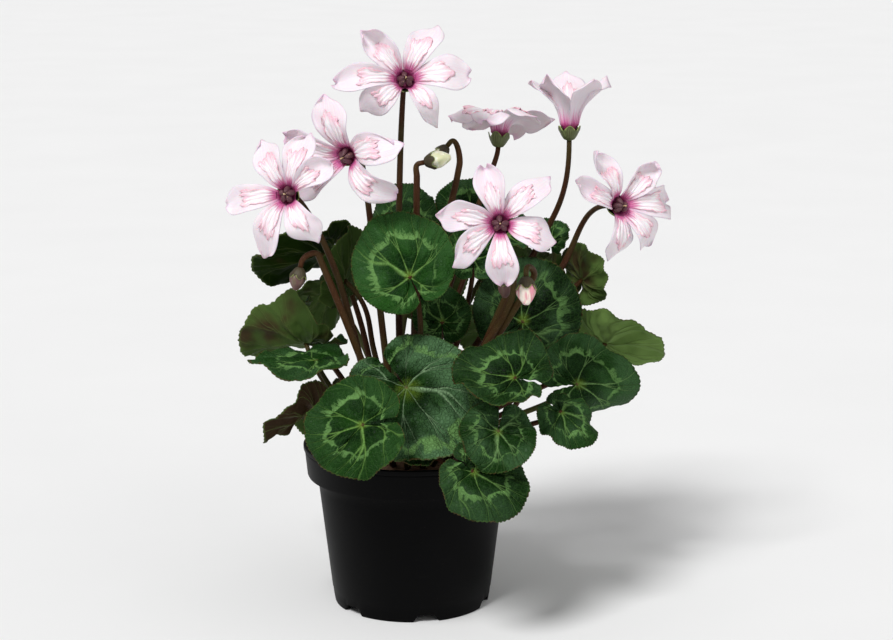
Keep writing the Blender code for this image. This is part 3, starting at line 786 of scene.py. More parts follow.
# %% Pale zone group
def zone_group():
    """Masks for the feathered pale zone and for what lies outside it, from a blade's UV map."""
    tree, given, result = new_group(
        "leaf zone",
        [("UV", "Vector", None), ("Between", "Float", 0.25), ("Cell", "Float", 0.0), ("Phase", "Float", 1.0),
         ("Middle", "Float", 0.60)],
        [("Zone", "Float"), ("Outside", "Float"), ("Feather", "Float")],
    )
    uv, middle, phase = given.outputs["UV"], given.outputs["Middle"], given.outputs["Phase"]
    reach = place(tree, "SeparateXYZ", {"Vector": uv}).outputs[1]
    shift = place(tree, "CombineXYZ", {"Z": phase}).outputs[0]
    moved = place(tree, "VectorMath", {0: uv, 1: shift}, operation="ADD").outputs[0]
    feather = speckle(tree, stretched(tree, moved, (46, 4, 5)), 1.0, 4.0, 0.65)
    drift = speckle(tree, stretched(tree, moved, (7, 2, 3)), 1.0, 2.0)
    dice = place(tree, "TexWhiteNoise", {"W": sums(tree, "ADD", given.outputs["Cell"], phase)},
                 noise_dimensions="1D").outputs[0]
    bulge = step(tree, given.outputs["Between"], 0.02, 0.30, 0.05, -0.035)
    inner = sums(tree, "ADD", sums(tree, "SUBTRACT", middle, 0.04), bulge)
    inner = sums(tree, "MULTIPLY_ADD", sums(tree, "SUBTRACT", drift, 0.5), 0.30, inner)
    width = sums(tree, "MULTIPLY_ADD", step(tree, feather, 0.34, 0.66), 0.16, 0.035)
    width = times(tree, width, sums(tree, "MULTIPLY_ADD", dice, 0.7, 0.55))
    past = sums(tree, "SUBTRACT", reach, inner)
    inside = step(tree, past, -0.006, 0.022)
    before = step(tree, sums(tree, "SUBTRACT", width, past), -0.012, 0.035)
    strength = sums(tree, "MULTIPLY_ADD", dice, 0.5, 0.5)
    fading = step(tree, past, 0.03, 0.2, 1.0, 0.45)
    zone = times(tree, times(tree, inside, before), times(tree, strength, fading))
    join(tree, zone, result.inputs["Zone"])
    join(tree, step(tree, past, 0.0, 0.15), result.inputs["Outside"])
    join(tree, feather, result.inputs["Feather"])
    return tree


LEAF_ZONE = zone_group()
print("zone group nodes:", len(LEAF_ZONE.nodes))


# %% Upper side of a leaf
def vein_net(tree, coords):
    """Distance to the edges of the tiny cells between the smallest veins."""
    inputs = {"Vector": coords, "Scale": 430.0}
    return place(tree, "TexVoronoi", inputs, feature="DISTANCE_TO_EDGE").outputs[0]


def leaf_top(name, leaf, phase, look):
    """Dark waxy green with a pale feathered zone."""
    material, tree, shader = new_finish(name, specular_ior_level=0.06)
    uv = place(tree, "UVMap").outputs[0]
    coords = object_coords(tree)
    veins = use_group(tree, LEAF_VEINS, {"UV": uv, "Size": float(leaf.size), "Phase": phase})
    zones = use_group(tree, LEAF_ZONE, {
        "UV": uv, "Between": veins.outputs["Between"], "Cell": veins.outputs["Cell"],
        "Phase": phase * 3, "Middle": look.zone})
    reach = place(tree, "SeparateXYZ", {"Vector": uv}).outputs[1]
    cloud = speckle(tree, coords, 60.0, 3.0)
    cells = vein_net(tree, coords)
    net = step(tree, cells, 0.0, 0.12, 1.0, 0.0)
    base = mix(tree, step(tree, cloud, 0.3, 0.7), rgb(0.0026, 0.0165, 0.0022), rgb(0.0115, 0.0560, 0.0052))
    base = mix(tree, times(tree, zones.outputs["Outside"], 0.6), base, rgb(0.0150, 0.0640, 0.0080))
    # Painted shade: the green is scaled by the leaf's brightness factor, which sets the leaf's own tone and
    # also darkens leaves that lie in shade.
    depth = rgb(look.tone, look.tone, look.tone)
    base = mix(tree, 1.0, base, depth, "MULTIPLY")
    silver = times(tree, step(tree, speckle(tree, coords, 40.0, 3.0), 0.36, 0.62), look.bloom)
    silver = times(tree, silver, step(tree, reach, 0.20, 0.60))
    base = mix(tree, silver, base, rgb(0.075, 0.160, 0.070))
    base = mix(tree, times(tree, net, 0.20), base, rgb(0.045, 0.120, 0.025))
    pale = mix(tree, zones.outputs["Feather"], rgb(0.088, 0.205, 0.044), rgb(0.165, 0.320, 0.105))
    base = mix(tree, times(tree, zones.outputs["Zone"], look.pale), base, pale)
    fade = step(tree, reach, 0.30, 1.0, look.pale, 0.45 * look.pale)
    vein_green = mix(tree, look.bloom, rgb(0.125, 0.260, 0.046), rgb(0.220, 0.350, 0.190))
    base = mix(tree, times(tree, veins.outputs["Vein"], fade), base, vein_green)
    hub = step(tree, reach, 0.0, 0.12 + 0.14 * look.bloom, 0.75, 0.0)
    base = mix(tree, hub, base, rgb(0.105, 0.170, 0.014))
    base = mix(tree, step(tree, reach, 0.0, 0.035, 0.8, 0.0), base, rgb(0.090, 0.030, 0.012))
    rusty = mix(tree, step(tree, speckle(tree, coords, 300.0, 2.0), 0.42, 0.60),
                rgb(0.075, 0.150, 0.030), rgb(0.115, 0.048, 0.020))
    base = mix(tree, step(tree, reach, 0.975, 0.996, 0.0, 0.5), base, rusty)
    join(tree, base, shader.inputs["Base Color"])
    rough = sums(tree, "MULTIPLY_ADD", cloud, 0.18, 0.36)
    join(tree, sums(tree, "MULTIPLY_ADD", zones.outputs["Zone"], 0.10, rough), shader.inputs["Roughness"])
    quilt = place(tree, "TexVoronoi", {"Vector": coords, "Scale": 230.0}, feature="SMOOTH_F1").outputs[0]
    height = sums(tree, "MULTIPLY_ADD", step(tree, cells, 0.0, 0.22), 0.4, times(tree, quilt, -1.1))
    height = sums(tree, "MULTIPLY_ADD", veins.outputs["Vein"], -0.7, height)
    raise_surface(tree, shader, height, 1.0, 0.7 + look.bloom)
    return material


# %% Underside of a leaf
def leaf_underside(name, leaf, phase, look):
    """Olive green with a net of veins, blotched with purple, and darkened by painted shade on leaves that lie
    in shade.
    """
    material, tree, shader = new_finish(name, specular_ior_level=0.05)
    uv = place(tree, "UVMap").outputs[0]
    coords = object_coords(tree)
    veins = use_group(tree, LEAF_VEINS, {"UV": uv, "Size": float(leaf.size), "Phase": phase})
    cloud = speckle(tree, coords, 50.0, 4.0)
    # Painted shade: the dark olive stands for an underside in shade. The lightness of the look mixes from it
    # to the underside's own pale olive, and it picks the vein colour the same way.
    dark = mix(tree, cloud, rgb(0.006, 0.017, 0.0015), rgb(0.018, 0.042, 0.004))
    pale = mix(tree, cloud, rgb(0.110, 0.205, 0.044), rgb(0.200, 0.310, 0.090))
    plum = mix(tree, cloud, rgb(0.020, 0.009, 0.006), rgb(0.052, 0.028, 0.014))
    blotch = sums(tree, "ADD", 0.45 * look.purple, speckle(tree, coords, 34.0, 3.0))
    base = mix(tree, step(tree, blotch, 0.60, 0.80, 0.0, 0.9), mix(tree, look.light, dark, pale), plum)
    vein_tone = mix(tree, look.light, rgb(0.085, 0.115, 0.032), rgb(0.060, 0.095, 0.022))
    base = mix(tree, times(tree, veins.outputs["Vein"], 0.6), base, vein_tone)
    reach = place(tree, "SeparateXYZ", {"Vector": uv}).outputs[1]
    base = mix(tree, step(tree, reach, 0.965, 0.99, 0.0, 0.6), base, rgb(0.080, 0.120, 0.030))
    join(tree, base, shader.inputs["Base Color"])
    join(tree, sums(tree, "MULTIPLY_ADD", cloud, 0.2, 0.45), shader.inputs["Roughness"])
    cells = vein_net(tree, coords)
    height = sums(tree, "MULTIPLY_ADD", veins.outputs["Vein"], 0.9, times(tree, cells, -0.3))
    raise_surface(tree, shader, height, 0.7, 0.5)
    return material


# %% Stalks and stems
def downy_stem(name, dark, light, green):
    """A brownish red stem, greener in places, with fine streaks along it."""
    material, tree, shader = new_finish(name, specular_ior_level=0.10)
    coords = object_coords(tree)
    streak = speckle(tree, stretched(tree, coords, (900, 900, 40)), 1.0, 3.0, 0.6)
    patch = speckle(tree, coords, 28.0, 2.0)
    dots = step(tree, speckle(tree, coords, 1300.0, 2.0), 0.60, 0.72)
    base = mix(tree, streak, dark, light)
    base = mix(tree, step(tree, patch, 0.42, 0.66, 0.0, 0.75), base, green)
    base = mix(tree, times(tree, dots, 0.35), base, rgb(0.20, 0.12, 0.075))
    join(tree, base, shader.inputs["Base Color"])
    join(tree, sums(tree, "MULTIPLY_ADD", streak, 0.2, 0.38), shader.inputs["Roughness"])
    raise_surface(tree, shader, sums(tree, "MULTIPLY_ADD", dots, 0.5, streak), 0.4, 0.25)
    return material


STALK_FINISHES = [
    downy_stem("maroon stalk", rgb(0.022, 0.007, 0.003), rgb(0.068, 0.024, 0.010), rgb(0.045, 0.036, 0.010)),
    downy_stem("brown stalk", rgb(0.028, 0.010, 0.004), rgb(0.080, 0.030, 0.011), rgb(0.052, 0.044, 0.012)),
    downy_stem("olive stalk", rgb(0.034, 0.030, 0.009), rgb(0.090, 0.082, 0.026), rgb(0.075, 0.095, 0.028)),
]
print("stalk finishes:", len(STALK_FINISHES))


# %% The line of a stem
GAP = 0.4
STRAIGHT_END = 3.0


def crown_height(distance):
    """Height at which a stem leaves the corm's domed top."""
    share = min(distance / CORM_RADIUS, 1)
    return COMPOST_TOP + (CORM_TOP - COMPOST_TOP) * math.sqrt(1 - share * share) + 2 * GAP


def stem_path(root, tip, arrival, via, steps, reach=0.35):
    """A stem's centre line from its place on the corm to its tip, which it reaches along a given way."""
    bearing, distance = root
    end = tip - arrival * STRAIGHT_END
    start = outward(bearing) * distance + UP * crown_height(distance)
    lean = outward(bearing) * distance / CORM_RADIUS
    if via is None:
        span = (end - start).length
        first = start + (UP + lean * 0.9).normalized() * span * 0.4
        return bezier((start, first, end - arrival * span * reach, end), steps) + [tip]
    via = Vector(via)
    first_span, last_span = (via - start).length, (end - via).length
    through = (end - start).normalized() * 0.35 + (via - start).normalized() * 0.65
    through.normalize()
    leaving = (UP + lean).normalized()
    lower = (start, start + leaving * first_span * 0.35, via - through * first_span * 0.3, via)
    upper = (via, via + through * last_span * 0.35, end - arrival * last_span * 0.45, end)
    return bezier(lower, steps // 2 + 1) + bezier(upper, steps // 2 + 1)[1:] + [tip]


def stem_ripple(around, along):
    """Slight ribs and an uneven thickness along a stem."""
    return 1 + 0.035 * math.cos(5 * around) + 0.04 * math.sin(9 * along + around)


# %% [markdown]
# ## Making the leaves
# One function makes any leaf: the blade from a grid that is bent point by point, and its stalk as a tube
# along the line from the corm to the hub. The blade gets its thickness last, with the underside in its own
# material. Each leaf has its own phase, so that no two have the same veins or the same frill.

# %% Make the leaves
STALK_RADII = (2.2, 1.5)
STALK_SIDES = 10
STALK_STEPS = 26
Look = namedtuple("Look", "tone bloom zone pale light purple", defaults=(0.3, 0.2))
PLAIN = Look(0.60, 0.22, 0.62, 0.80)
LOOKS = {
    # name: brightness of the green, partly the leaf's own tone and partly painted shade, silvery bloom, place
    # and strength
    #       of the pale zone, lightness of the underside, also partly painted shade, and purple of the
    #       underside
    "leaf_01": Look(1.15, 0.15, 0.63, 0.98),
    "leaf_02": Look(0.60, 0.2, 0.62, 0.7, 0.0, 0.0),
    "leaf_04": Look(0.60, 0.2, 0.62, 0.7, 0.15, 0.0),
    "leaf_05": Look(0.60, 0.2, 0.62, 0.8, 0.25, 0.25),
    "leaf_06": Look(0.70, 0.2, 0.62, 0.9),
    "leaf_07": Look(0.60, 0.2, 0.62, 0.8, 0.0, 0.9),
    "leaf_08": Look(0.70, 0.10, 0.60, 0.98),
    "leaf_09": Look(0.62, 0.95, 0.80, 1.0),
    "leaf_10": Look(0.38, 0.15, 0.56, 0.90),
    "leaf_11": Look(0.22, 0.30, 0.66, 0.55),
    "leaf_12": Look(0.65, 0.35, 0.62, 0.95),
    "leaf_13": Look(0.60, 0.2, 0.62, 0.8, 1.0, 0.0),
    "leaf_15": Look(0.50, 0.4, 0.62, 0.80),
    "leaf_16": Look(0.40, 0.2, 0.60, 0.85),
    "leaf_20": Look(0.60, 0.2, 0.62, 0.7, 0.35, 0.3),
    "leaf_24": Look(0.35, 0.2, 0.62, 0.7),
}


def make_leaf(name, leaf, index):
    axes = facing(leaf.bearing, leaf.lift, leaf.turn)
    phase = 1.0 + 2.39996 * index % math.tau
    span = math.pi - math.radians(SINUS_HALF_GAP)
    bm = new_sheet()
    for vert in sheet_grid(bm, BLADE_RAYS, BLADE_RINGS):
        turn, reach = vert.co.x + 0.5, vert.co.y + 0.5
        angle = 2 * vert.co.x * span
        relief = blade_relief(leaf, turn, reach, phase)
        ray = round(turn * BLADE_RAYS)
        tooth = TOOTH_SHAPE[ray % 3] / leaf.size if reach > 0.999 else 0.0
        vert.co = blade_point(leaf, axes, angle, reach * 0.99 + tooth, relief)
    bmesh.ops.remove_doubles(bm, verts=bm.verts, dist=0.005)
    bmesh.ops.reverse_faces(bm, faces=bm.faces)
    look = LOOKS.get(name, PLAIN)
    top = leaf_top(name + " top", leaf, phase, look)
    underside = leaf_underside(name + " underside", leaf, phase, look)
    blade = finish_piece(name + "_blade", bm, [top, underside], name)
    thicken(blade, BLADE_THICKNESS, back=1)

    arrival = (axes[2] * 0.9 + axes[0] * 0.45).normalized()
    path = stem_path(leaf.root, Vector(leaf.hub) + arrival * 0.15, arrival, leaf.via, STALK_STEPS)
    bm = bmesh.new()
    sweep(bm, path, tapered(STALK_RADII, len(path)), STALK_SIDES, stem_ripple)
    finish_piece(name + "_stalk", bm, [STALK_FINISHES[index % 3]])
    return blade


for index, (name, leaf) in enumerate(LEAVES.items()):
    blade = make_leaf(name, leaf, index)
print("faces in one blade:", len(blade.data.polygons))

# %% [markdown]
# ## Where every flower and bud is
# A flower is given by its throat, the way it faces, and a direction and length for each petal, clockwise from
# the top, because the petals of these flowers spread unevenly. A bud is given by its neck and the way it
# points, which is down, from a hooked stem.

# %% The flowers and buds
Flower = namedtuple("Flower", "hub bearing lift petals width open flat root via", defaults=(None,))
FLOWERS = {
    # name: throat, facing (bearing, lift), petals (clockwise from the top, length),
    #       petal width, opening at the throat and at the tips, root
    "flower_1": Flower(
        (-3, -8, 341), 5, 20, ((21, 35), (80, 37), (138, 30), (228, 29), (274, 41), (319, 34)),
        24, 55, 95, (-95, 3.4)),
    "flower_2": Flower(
        (-38, -30, 297), -28, -5, ((-10, 36), (60, 38), (135, 36), (228, 40), (285, 36)),
        25, 50, 90, (-45, 9)),
    "flower_3": Flower(
        (-74, -52, 276), -12, 12, ((14, 35), (50, 31), (150, 30), (212, 36), (265, 36), (328, 33)),
        23, 55, 95, (-56, 15), (-44, -34, 218)),
    "flower_4": Flower(
        (57, 40, 301), 160, 74, ((0, 32), (60, 34), (120, 34), (180, 34), (240, 34), (300, 36)),
        24, 4, 104, (150, 3.4)),
    "flower_5": Flower(
        (101, 15, 309), 180, 86, ((36, 36), (108, 36), (180, 38), (252, 36), (324, 36)),
        23, 8, 34, (102, 9), (82, 34, 228)),
    "flower_6": Flower(
        (55, -82, 263), -2, 12, ((-16, 32), (34, 35), (100, 30), (178, 33), (240, 33), (286, 34)),
        24, 55, 95, (32, 15), (62, -50, 208)),
    "flower_7": Flower(
        (130, -20, 264), 30, 8, ((40, 30), (86, 38), (135, 35), (186, 31), (290, 33), (335, 34)),
        24, 55, 105, (84, 21), (96, 30, 212)),
}
Bud = namedtuple("Bud", "neck bearing lift length radius root via")
BUDS = {
    # name: neck of the bud, direction it points (bearing, lift), length, radius, root, way up
    "bud_1": Bud((9, -3, 289), 85, 12, 17, 5.0, (28, 3.4), (4, -3, 280)),
    "bud_2": Bud((23, 12, 297), -80, -50, 14, 4.2, (-156, 9), (31, 13, 285)),
    "bud_3": Bud((71, -74, 229), 0, -65, 17, 5.6, (54, 15), (76, -58, 226)),
    "bud_4": Bud((60, -38, 222), -20, -75, 13, 4.2, (74, 15), (66, -28, 222)),
    "bud_5": Bud((-67, -54, 231), -60, -75, 14, 4.6, (-36, 15), (-56, -50, 238)),
}
print("flowers:", len(FLOWERS), "buds:", len(BUDS))

# %% [markdown]
# ## Petals
# The petals spring from a short tube and are swept back or spread. Each is a broad blade, narrow at the
# throat, with a ruffled edge and, down its middle, a raised white crest of ribs that ends raggedly. The ring
# function makes petals and sepals alike: every one is a grid whose two lowest rows lie on the tube, and
# merging the rows joins them all.

# %% Ring of petals
PETAL_COLUMNS = 20
PETAL_ROWS = 28
THROAT_RADIUS = 4.6
TUBE_DEPTH = 4.5
TUBE_END_RADIUS = 2.6
PETAL_THICKNESS = 0.45
CREST_THICKNESS = 0.3
PETAL_TWIST = 0.3
PETAL_ROOM = 2.3


def sectors(bearings):
    """The share of a ring that each petal takes: from halfway to its neighbour to halfway to the next."""
    made = []
    for before, own, after in zip(bearings[-1:] + bearings[:-1], bearings, bearings[1:] + bearings[:1]):
        made.append((own - (own - before) % 360 / 2, own + (after - own) % 360 / 2))
    return made


def ring_way(axes, bearing):
    """The way out from a ring's centre at a bearing, clockwise from the top."""
    down, right, _ = axes
    angle = math.radians(bearing)
    return math.sin(angle) * right - math.cos(angle) * down


def whorl(bm, axes, centre, bearings, columns, rows, ring, shape):
    """Petals or sepals in a ring, all joined at their feet and closed below by a tube."""
    ring_radius, tube_depth, end_radius = ring
    axis = axes[2]
    for index, (start, end) in enumerate(sectors(bearings)):
        for vert in sheet_grid(bm, columns, rows + 1):
            out = ring_way(axes, start + (end - start) * (vert.co.x + 0.5))
            row = round((vert.co.y + 0.5) * (rows + 1))
            if row == 0:
                vert.co = centre + out * end_radius - axis * tube_depth
            elif row == 1:
                vert.co = centre + out * ring_radius
            else:
                vert.co = shape(index, ring_way(axes, bearings[index]), 2 * vert.co.x, (row - 1) / rows)
    bmesh.ops.remove_doubles(bm, verts=bm.verts, dist=0.02)
    bottom = centre - axis * tube_depth
    rim = [edge for edge in bm.edges
           if edge.is_boundary and all((vert.co - bottom).length < end_radius + 0.1 for vert in edge.verts)]
    bmesh.ops.holes_fill(bm, edges=rim, sides=len(rim))
    bmesh.ops.recalc_face_normals(bm, faces=bm.faces)


def petal_line(flower, along, length, steps=12):
    """How far a petal's middle line has gone outwards and forwards at a share of its length, and its lean."""
    out = forward = lean = 0.0
    for index in range(steps):
        share = (index + 0.5) / steps * along
        lean = math.radians(flower.open + (flower.flat - flower.open) * min(1, share * 1.6))
        out += math.sin(lean) * along * length / steps
        forward += math.cos(lean) * along * length / steps
    return out, forward, lean


# %% Petal finish
def petal_finish(name, blush):
    """Nearly white with a lilac cast, magenta rays at the throat, fine pink veins and a grey-lilac rim of
    painted shade where the thin edge is translucent.
    """
    material, tree, shader = new_finish(
        name, subsurface_weight=0.12, subsurface_scale=0.002, sheen_weight=0.05
    )
    uv = place(tree, "UVMap").outputs[0]
    coords = object_coords(tree)
    parts = place(tree, "SeparateXYZ", {"Vector": uv})
    across = sums(tree, "ABSOLUTE", sums(tree, "SUBTRACT", parts.outputs[0], 0.5))
    along = parts.outputs[1]
    fan = speckle(tree, stretched(tree, uv, (30, 1.4, 1)), 1.0, 3.0, 0.6)
    hairs = speckle(tree, stretched(tree, uv, (90, 2.2, 1)), 1.0, 2.0, 0.6)
    soft = speckle(tree, coords, 48.0, 2.0)
    base = mix(tree, soft, rgb(0.76, 0.68, 0.73), rgb(0.88, 0.835, 0.865))
    base = mix(tree, step(tree, hairs, 0.46, 0.70, 0.0, 0.35), base, rgb(0.80, 0.60, 0.71))
    base = mix(tree, step(tree, fan, 0.42, 0.66, 0.0, 0.45 * blush), base, rgb(0.86, 0.56, 0.69))
    # Painted shade: the grey-lilac band along both edges stands for the darker look of the thin, translucent
    # rim.
    base = mix(tree, step(tree, across, 0.455, 0.5, 0.0, 0.65), base, rgb(0.72, 0.62, 0.72))
    base = mix(tree, step(tree, along, 0.93, 1.0, 0.0, 0.5 * blush), base, rgb(0.74, 0.40, 0.62))
    flare = sums(tree, "MULTIPLY_ADD", fan, 0.62, times(tree, across, -0.10))
    past = sums(tree, "SUBTRACT", along, flare)
    base = mix(tree, step(tree, past, -0.24, 0.08, 0.9, 0.0), base, rgb(0.72, 0.13, 0.40))
    base = mix(tree, step(tree, past, -0.24, -0.11, 1.0, 0.0), base, rgb(0.42, 0.010, 0.16))
    base = mix(tree, step(tree, along, 0.045, 0.12, 0.85, 0.0), base, rgb(0.18, 0.005, 0.065))
    join(tree, base, shader.inputs["Base Color"])
    join(tree, sums(tree, "MULTIPLY_ADD", fan, 0.15, 0.42), shader.inputs["Roughness"])
    raise_surface(tree, shader, sums(tree, "MULTIPLY_ADD", hairs, 0.6, fan), 0.40, 0.35)
    return material


def crest_finish(name):
    """White ridges with pink between them and a crimson fringe."""
    material, tree, shader = new_finish(name, subsurface_weight=0.12, subsurface_scale=0.002, roughness=0.5)
    uv = place(tree, "UVMap").outputs[0]
    parts = place(tree, "SeparateXYZ", {"Vector": uv})
    across = sums(tree, "ABSOLUTE", sums(tree, "SUBTRACT", parts.outputs[0], 0.5))
    along = parts.outputs[1]
    ridges = speckle(tree, stretched(tree, uv, (17, 1.8, 1)), 1.0, 3.0, 0.6)
    flecks = speckle(tree, stretched(tree, uv, (26, 9, 1)), 1.0, 3.0, 0.6)
    base = mix(tree, step(tree, ridges, 0.42, 0.60), rgb(0.94, 0.90, 0.91), rgb(0.91, 0.68, 0.75))
    base = mix(tree, step(tree, ridges, 0.30, 0.42, 0.7, 0.0), base, rgb(0.97, 0.96, 0.95))
    rim = sums(tree, "MAXIMUM", step(tree, along, 0.74, 0.98), step(tree, across, 0.36, 0.5))
    fringe = times(tree, rim, step(tree, flecks, 0.36, 0.58, 0.15, 1.0))
    base = mix(tree, times(tree, fringe, 0.7), base, rgb(0.86, 0.34, 0.46))
    start = sums(tree, "SUBTRACT", along, times(tree, ridges, 0.62))
    base = mix(tree, step(tree, start, -0.22, 0.06, 0.9, 0.0), base, rgb(0.60, 0.05, 0.27))
    join(tree, base, shader.inputs["Base Color"])
    raise_surface(tree, shader, ridges, 0.6, 0.5)
    return material


PETALS = [petal_finish("pale petal", 0.6), petal_finish("pink petal", 1.0)]
CREST = crest_finish("petal crest")
print("petal finishes:", len(PETALS) + 1)


# %% How the petals hold themselves
Mood = namedtuple("Mood", "width sweep curl roll")
MOODS = {
    # for each petal: share of the full width, swing of its tip sideways, curl of its tip towards the face
    # and roll of its edges towards the face, in millimetres
    "flower_1": (Mood(0.90, 5, -3, 2), Mood(1.0, 3, -3, 1), Mood(0.70, 4, -7, 4), Mood(0.85, 3, -4, 1),
                 Mood(0.74, -4, -3, 4), Mood(0.74, -1, 5, 6)),
    "flower_2": (Mood(1.05, -3, -2, 2), Mood(0.92, 9, -5, 3), Mood(0.85, -5, -6, 2), Mood(0.72, 3, -2, 5),
                 Mood(0.74, 3, 2, 5)),
    "flower_3": (Mood(0.95, 2, -4, 3), Mood(0.80, 3, 3, 4), Mood(0.90, -2, -4, 2), Mood(0.78, -7, -4, 2),
                 Mood(0.85, -3, -2, 3), Mood(0.85, 2, -4, 3)),
    "flower_4": (Mood(1.2, 0, -2, -2), Mood(1.2, 3, -1, -2), Mood(1.2, 0, -2, -2), Mood(1.2, -2, -2, -3),
                 Mood(1.2, 2, 3, -2), Mood(1.2, 0, 1, -2)),
    "flower_5": (Mood(1.1, 2, -1, -2), Mood(1.0, -2, -3, -3), Mood(1.1, 0, -1, -2), Mood(1.0, 2, -3, -3),
                 Mood(1.1, -2, -1, -2)),
    "flower_6": (Mood(0.78, 0, -3, 5), Mood(0.80, 7, -5, 3), Mood(0.88, 3, -4, 2), Mood(0.84, -1, -6, 2),
                 Mood(0.75, -6, -5, 2), Mood(0.82, -5, -3, 4)),
    "flower_7": (Mood(0.74, 3, 3, 5), Mood(0.98, 4, -4, 3), Mood(0.85, 2, -5, 2), Mood(0.95, 2, -5, 1),
                 Mood(0.68, 3, 5, 7), Mood(0.72, -2, 4, 6)),
}
print("petals:", sum(len(moods) for moods in MOODS.values()))


# %% Make the corollas
CREST_COLUMNS = 14
CREST_ROWS = 20


def petal_point(name, flower, number, index, across, along, lift=0.0):
    """A point of a petal, from half its width across and a share of the way along, lifted off its face."""
    axes, centre = facing(flower.bearing, flower.lift, 0), Vector(flower.hub)
    axis = axes[2]
    bearings = [bearing for bearing, _ in flower.petals]
    start, end = sectors(bearings)[index]
    room = math.radians(min(bearings[index] - start, end - bearings[index]))
    middle = ring_way(axes, bearings[index])
    mood = MOODS[name][index]
    phase = 2.1 * index + 1.7 * number
    base_width = math.tau * THROAT_RADIUS / len(flower.petals)
    full = base_width + (flower.width * mood.width - base_width) * math.sin(math.pi * min(along * 0.62, 0.5))
    width = full * math.sqrt(1 - (max(0.0, along - 0.60) / 0.41) ** 2)
    width *= 1 + 0.05 * math.sin(9 * along + phase)
    blunt = (0.06 + 0.04 * math.sin(5 * phase)) * across**2 * along
    length = flower.petals[index][1] * (1.03 - blunt + 0.045 * along * math.sin(2.5 * across + 2 * phase))
    out, forward, lean = petal_line(flower, along, length)
    radius = THROAT_RADIUS + out
    offset = across * min(width, PETAL_ROOM * radius * math.tan(room)) / 2
    face = math.sin(lean) * axis - math.cos(lean) * middle
    twist = PETAL_TWIST * min(1.0, 2.5 * along) * (0.7 + 0.6 * math.sin(phase * 2))
    side = middle.cross(axis) + face * twist
    ruffle = 1.5 * along**2 * abs(across) ** 1.5 * math.sin(8 * along + 2.5 * across + phase)
    ruffle += 0.5 * along * math.sin(17 * along + 3 * across + 2 * phase) * abs(across)
    tip = max(0.0, along - 0.5) / 0.5
    skew = 1 + 0.7 * across * math.sin(3 * phase)
    rise = ruffle + mood.roll * skew * across**2 * min(1.0, 2 * along) + 1.5 * mood.curl * tip**2 + lift
    rise += 2.2 * math.sin(math.pi * min(1.0, 1.15 * along))
    swing = 1.3 * mood.sweep * along**2
    return centre + middle * radius + axis * forward + side * (offset + swing) + face * rise


def crest_point(name, flower, number, index, across, along):
    """A point of the ruffled crest on a petal's middle."""
    phase = 1.3 * index + 2.9 * number
    fringe = 0.70 - 0.10 * across**2 + 0.05 * math.sin(4 * across + phase)
    fringe += 0.03 * math.sin(13 * across + 2 * phase) + 0.018 * math.sin(31 * across + 3 * phase)
    reach = 0.07 + along * (fringe - 0.07) * MOODS[name][index].width ** 0.3
    wobble = 0.16 * math.sin(9 * along + phase) + 0.08 * math.sin(27 * along + 2 * phase)
    wide = 0.60 * (1 + wobble * along)
    ridges = 0.5 + 0.5 * math.cos(11 * across + 2.0 * math.sin(4 * along + phase))
    edge = max(abs(across), along) ** 6
    lift = 0.30 + 0.75 * ridges * min(1.0, 4 * along) + 0.6 * edge * math.sin(15 * across + 9 * along + phase)
    lift *= min(1.0, 6 * along)
    return petal_point(name, flower, number, index, across * wide, reach, lift + 0.15)


def make_corolla(name, flower, number):
    axes = facing(flower.bearing, flower.lift, 0)
    bearings = [bearing for bearing, _ in flower.petals]

    def shape(index, middle, across, along):
        return petal_point(name, flower, number, index, across, along)

    bm = new_sheet()
    ring = (THROAT_RADIUS, TUBE_DEPTH, TUBE_END_RADIUS)
    whorl(bm, axes, Vector(flower.hub), bearings, PETAL_COLUMNS, PETAL_ROWS, ring, shape)
    corolla = finish_piece(name + "_corolla", bm, [PETALS[number % 2]], name + "_petals")
    thicken(corolla, PETAL_THICKNESS)

    bm = new_sheet()
    for index in range(len(bearings)):
        for vert in sheet_grid(bm, CREST_COLUMNS, CREST_ROWS):
            vert.co = crest_point(name, flower, number, index, 2 * vert.co.x, vert.co.y + 0.5)
    crests = finish_piece(name + "_crests", bm, [CREST])
    thicken(crests, CREST_THICKNESS)
    return corolla


for number, (name, flower) in enumerate(FLOWERS.items()):
    corolla = make_corolla(name, flower, number)
print("faces in one corolla:", len(corolla.data.polygons))

# %% [markdown]
# ## Stamens, calyx and stem of a flower
# In the throat stand five dark pointed anthers round a paler style. Behind the petals is the calyx, a green
# cup with five pointed sepals, striped with brown. The stem bends just under the calyx so that the flower
# looks forward.

# %% Stamens
def anther_purple():
    material, tree, shader = new_finish("dark anther", roughness=0.6)
    coords = object_coords(tree)
    grain = speckle(tree, coords, 900.0, 3.0)
    base = mix(tree, grain, rgb(0.040, 0.008, 0.022), rgb(0.15, 0.060, 0.065))
    base = mix(tree, step(tree, grain, 0.62, 0.75), base, rgb(0.42, 0.26, 0.14))
    join(tree, base, shader.inputs["Base Color"])
    return material


def style_tan():
    material, tree, shader = new_finish("tan style", roughness=0.55)
    coords = object_coords(tree)
    base = mix(tree, speckle(tree, coords, 500.0), rgb(0.45, 0.28, 0.14), rgb(0.66, 0.50, 0.30))
    join(tree, base, shader.inputs["Base Color"])
    return material


ANTHER, STYLE = anther_purple(), style_tan()
ANTHERS = 5
ANTHER_SHARES = (0, 0.15, 0.4, 0.7, 0.9, 1)
ANTHER_RADII = (0.5, 1.5, 1.9, 1.45, 0.7, 0.15)


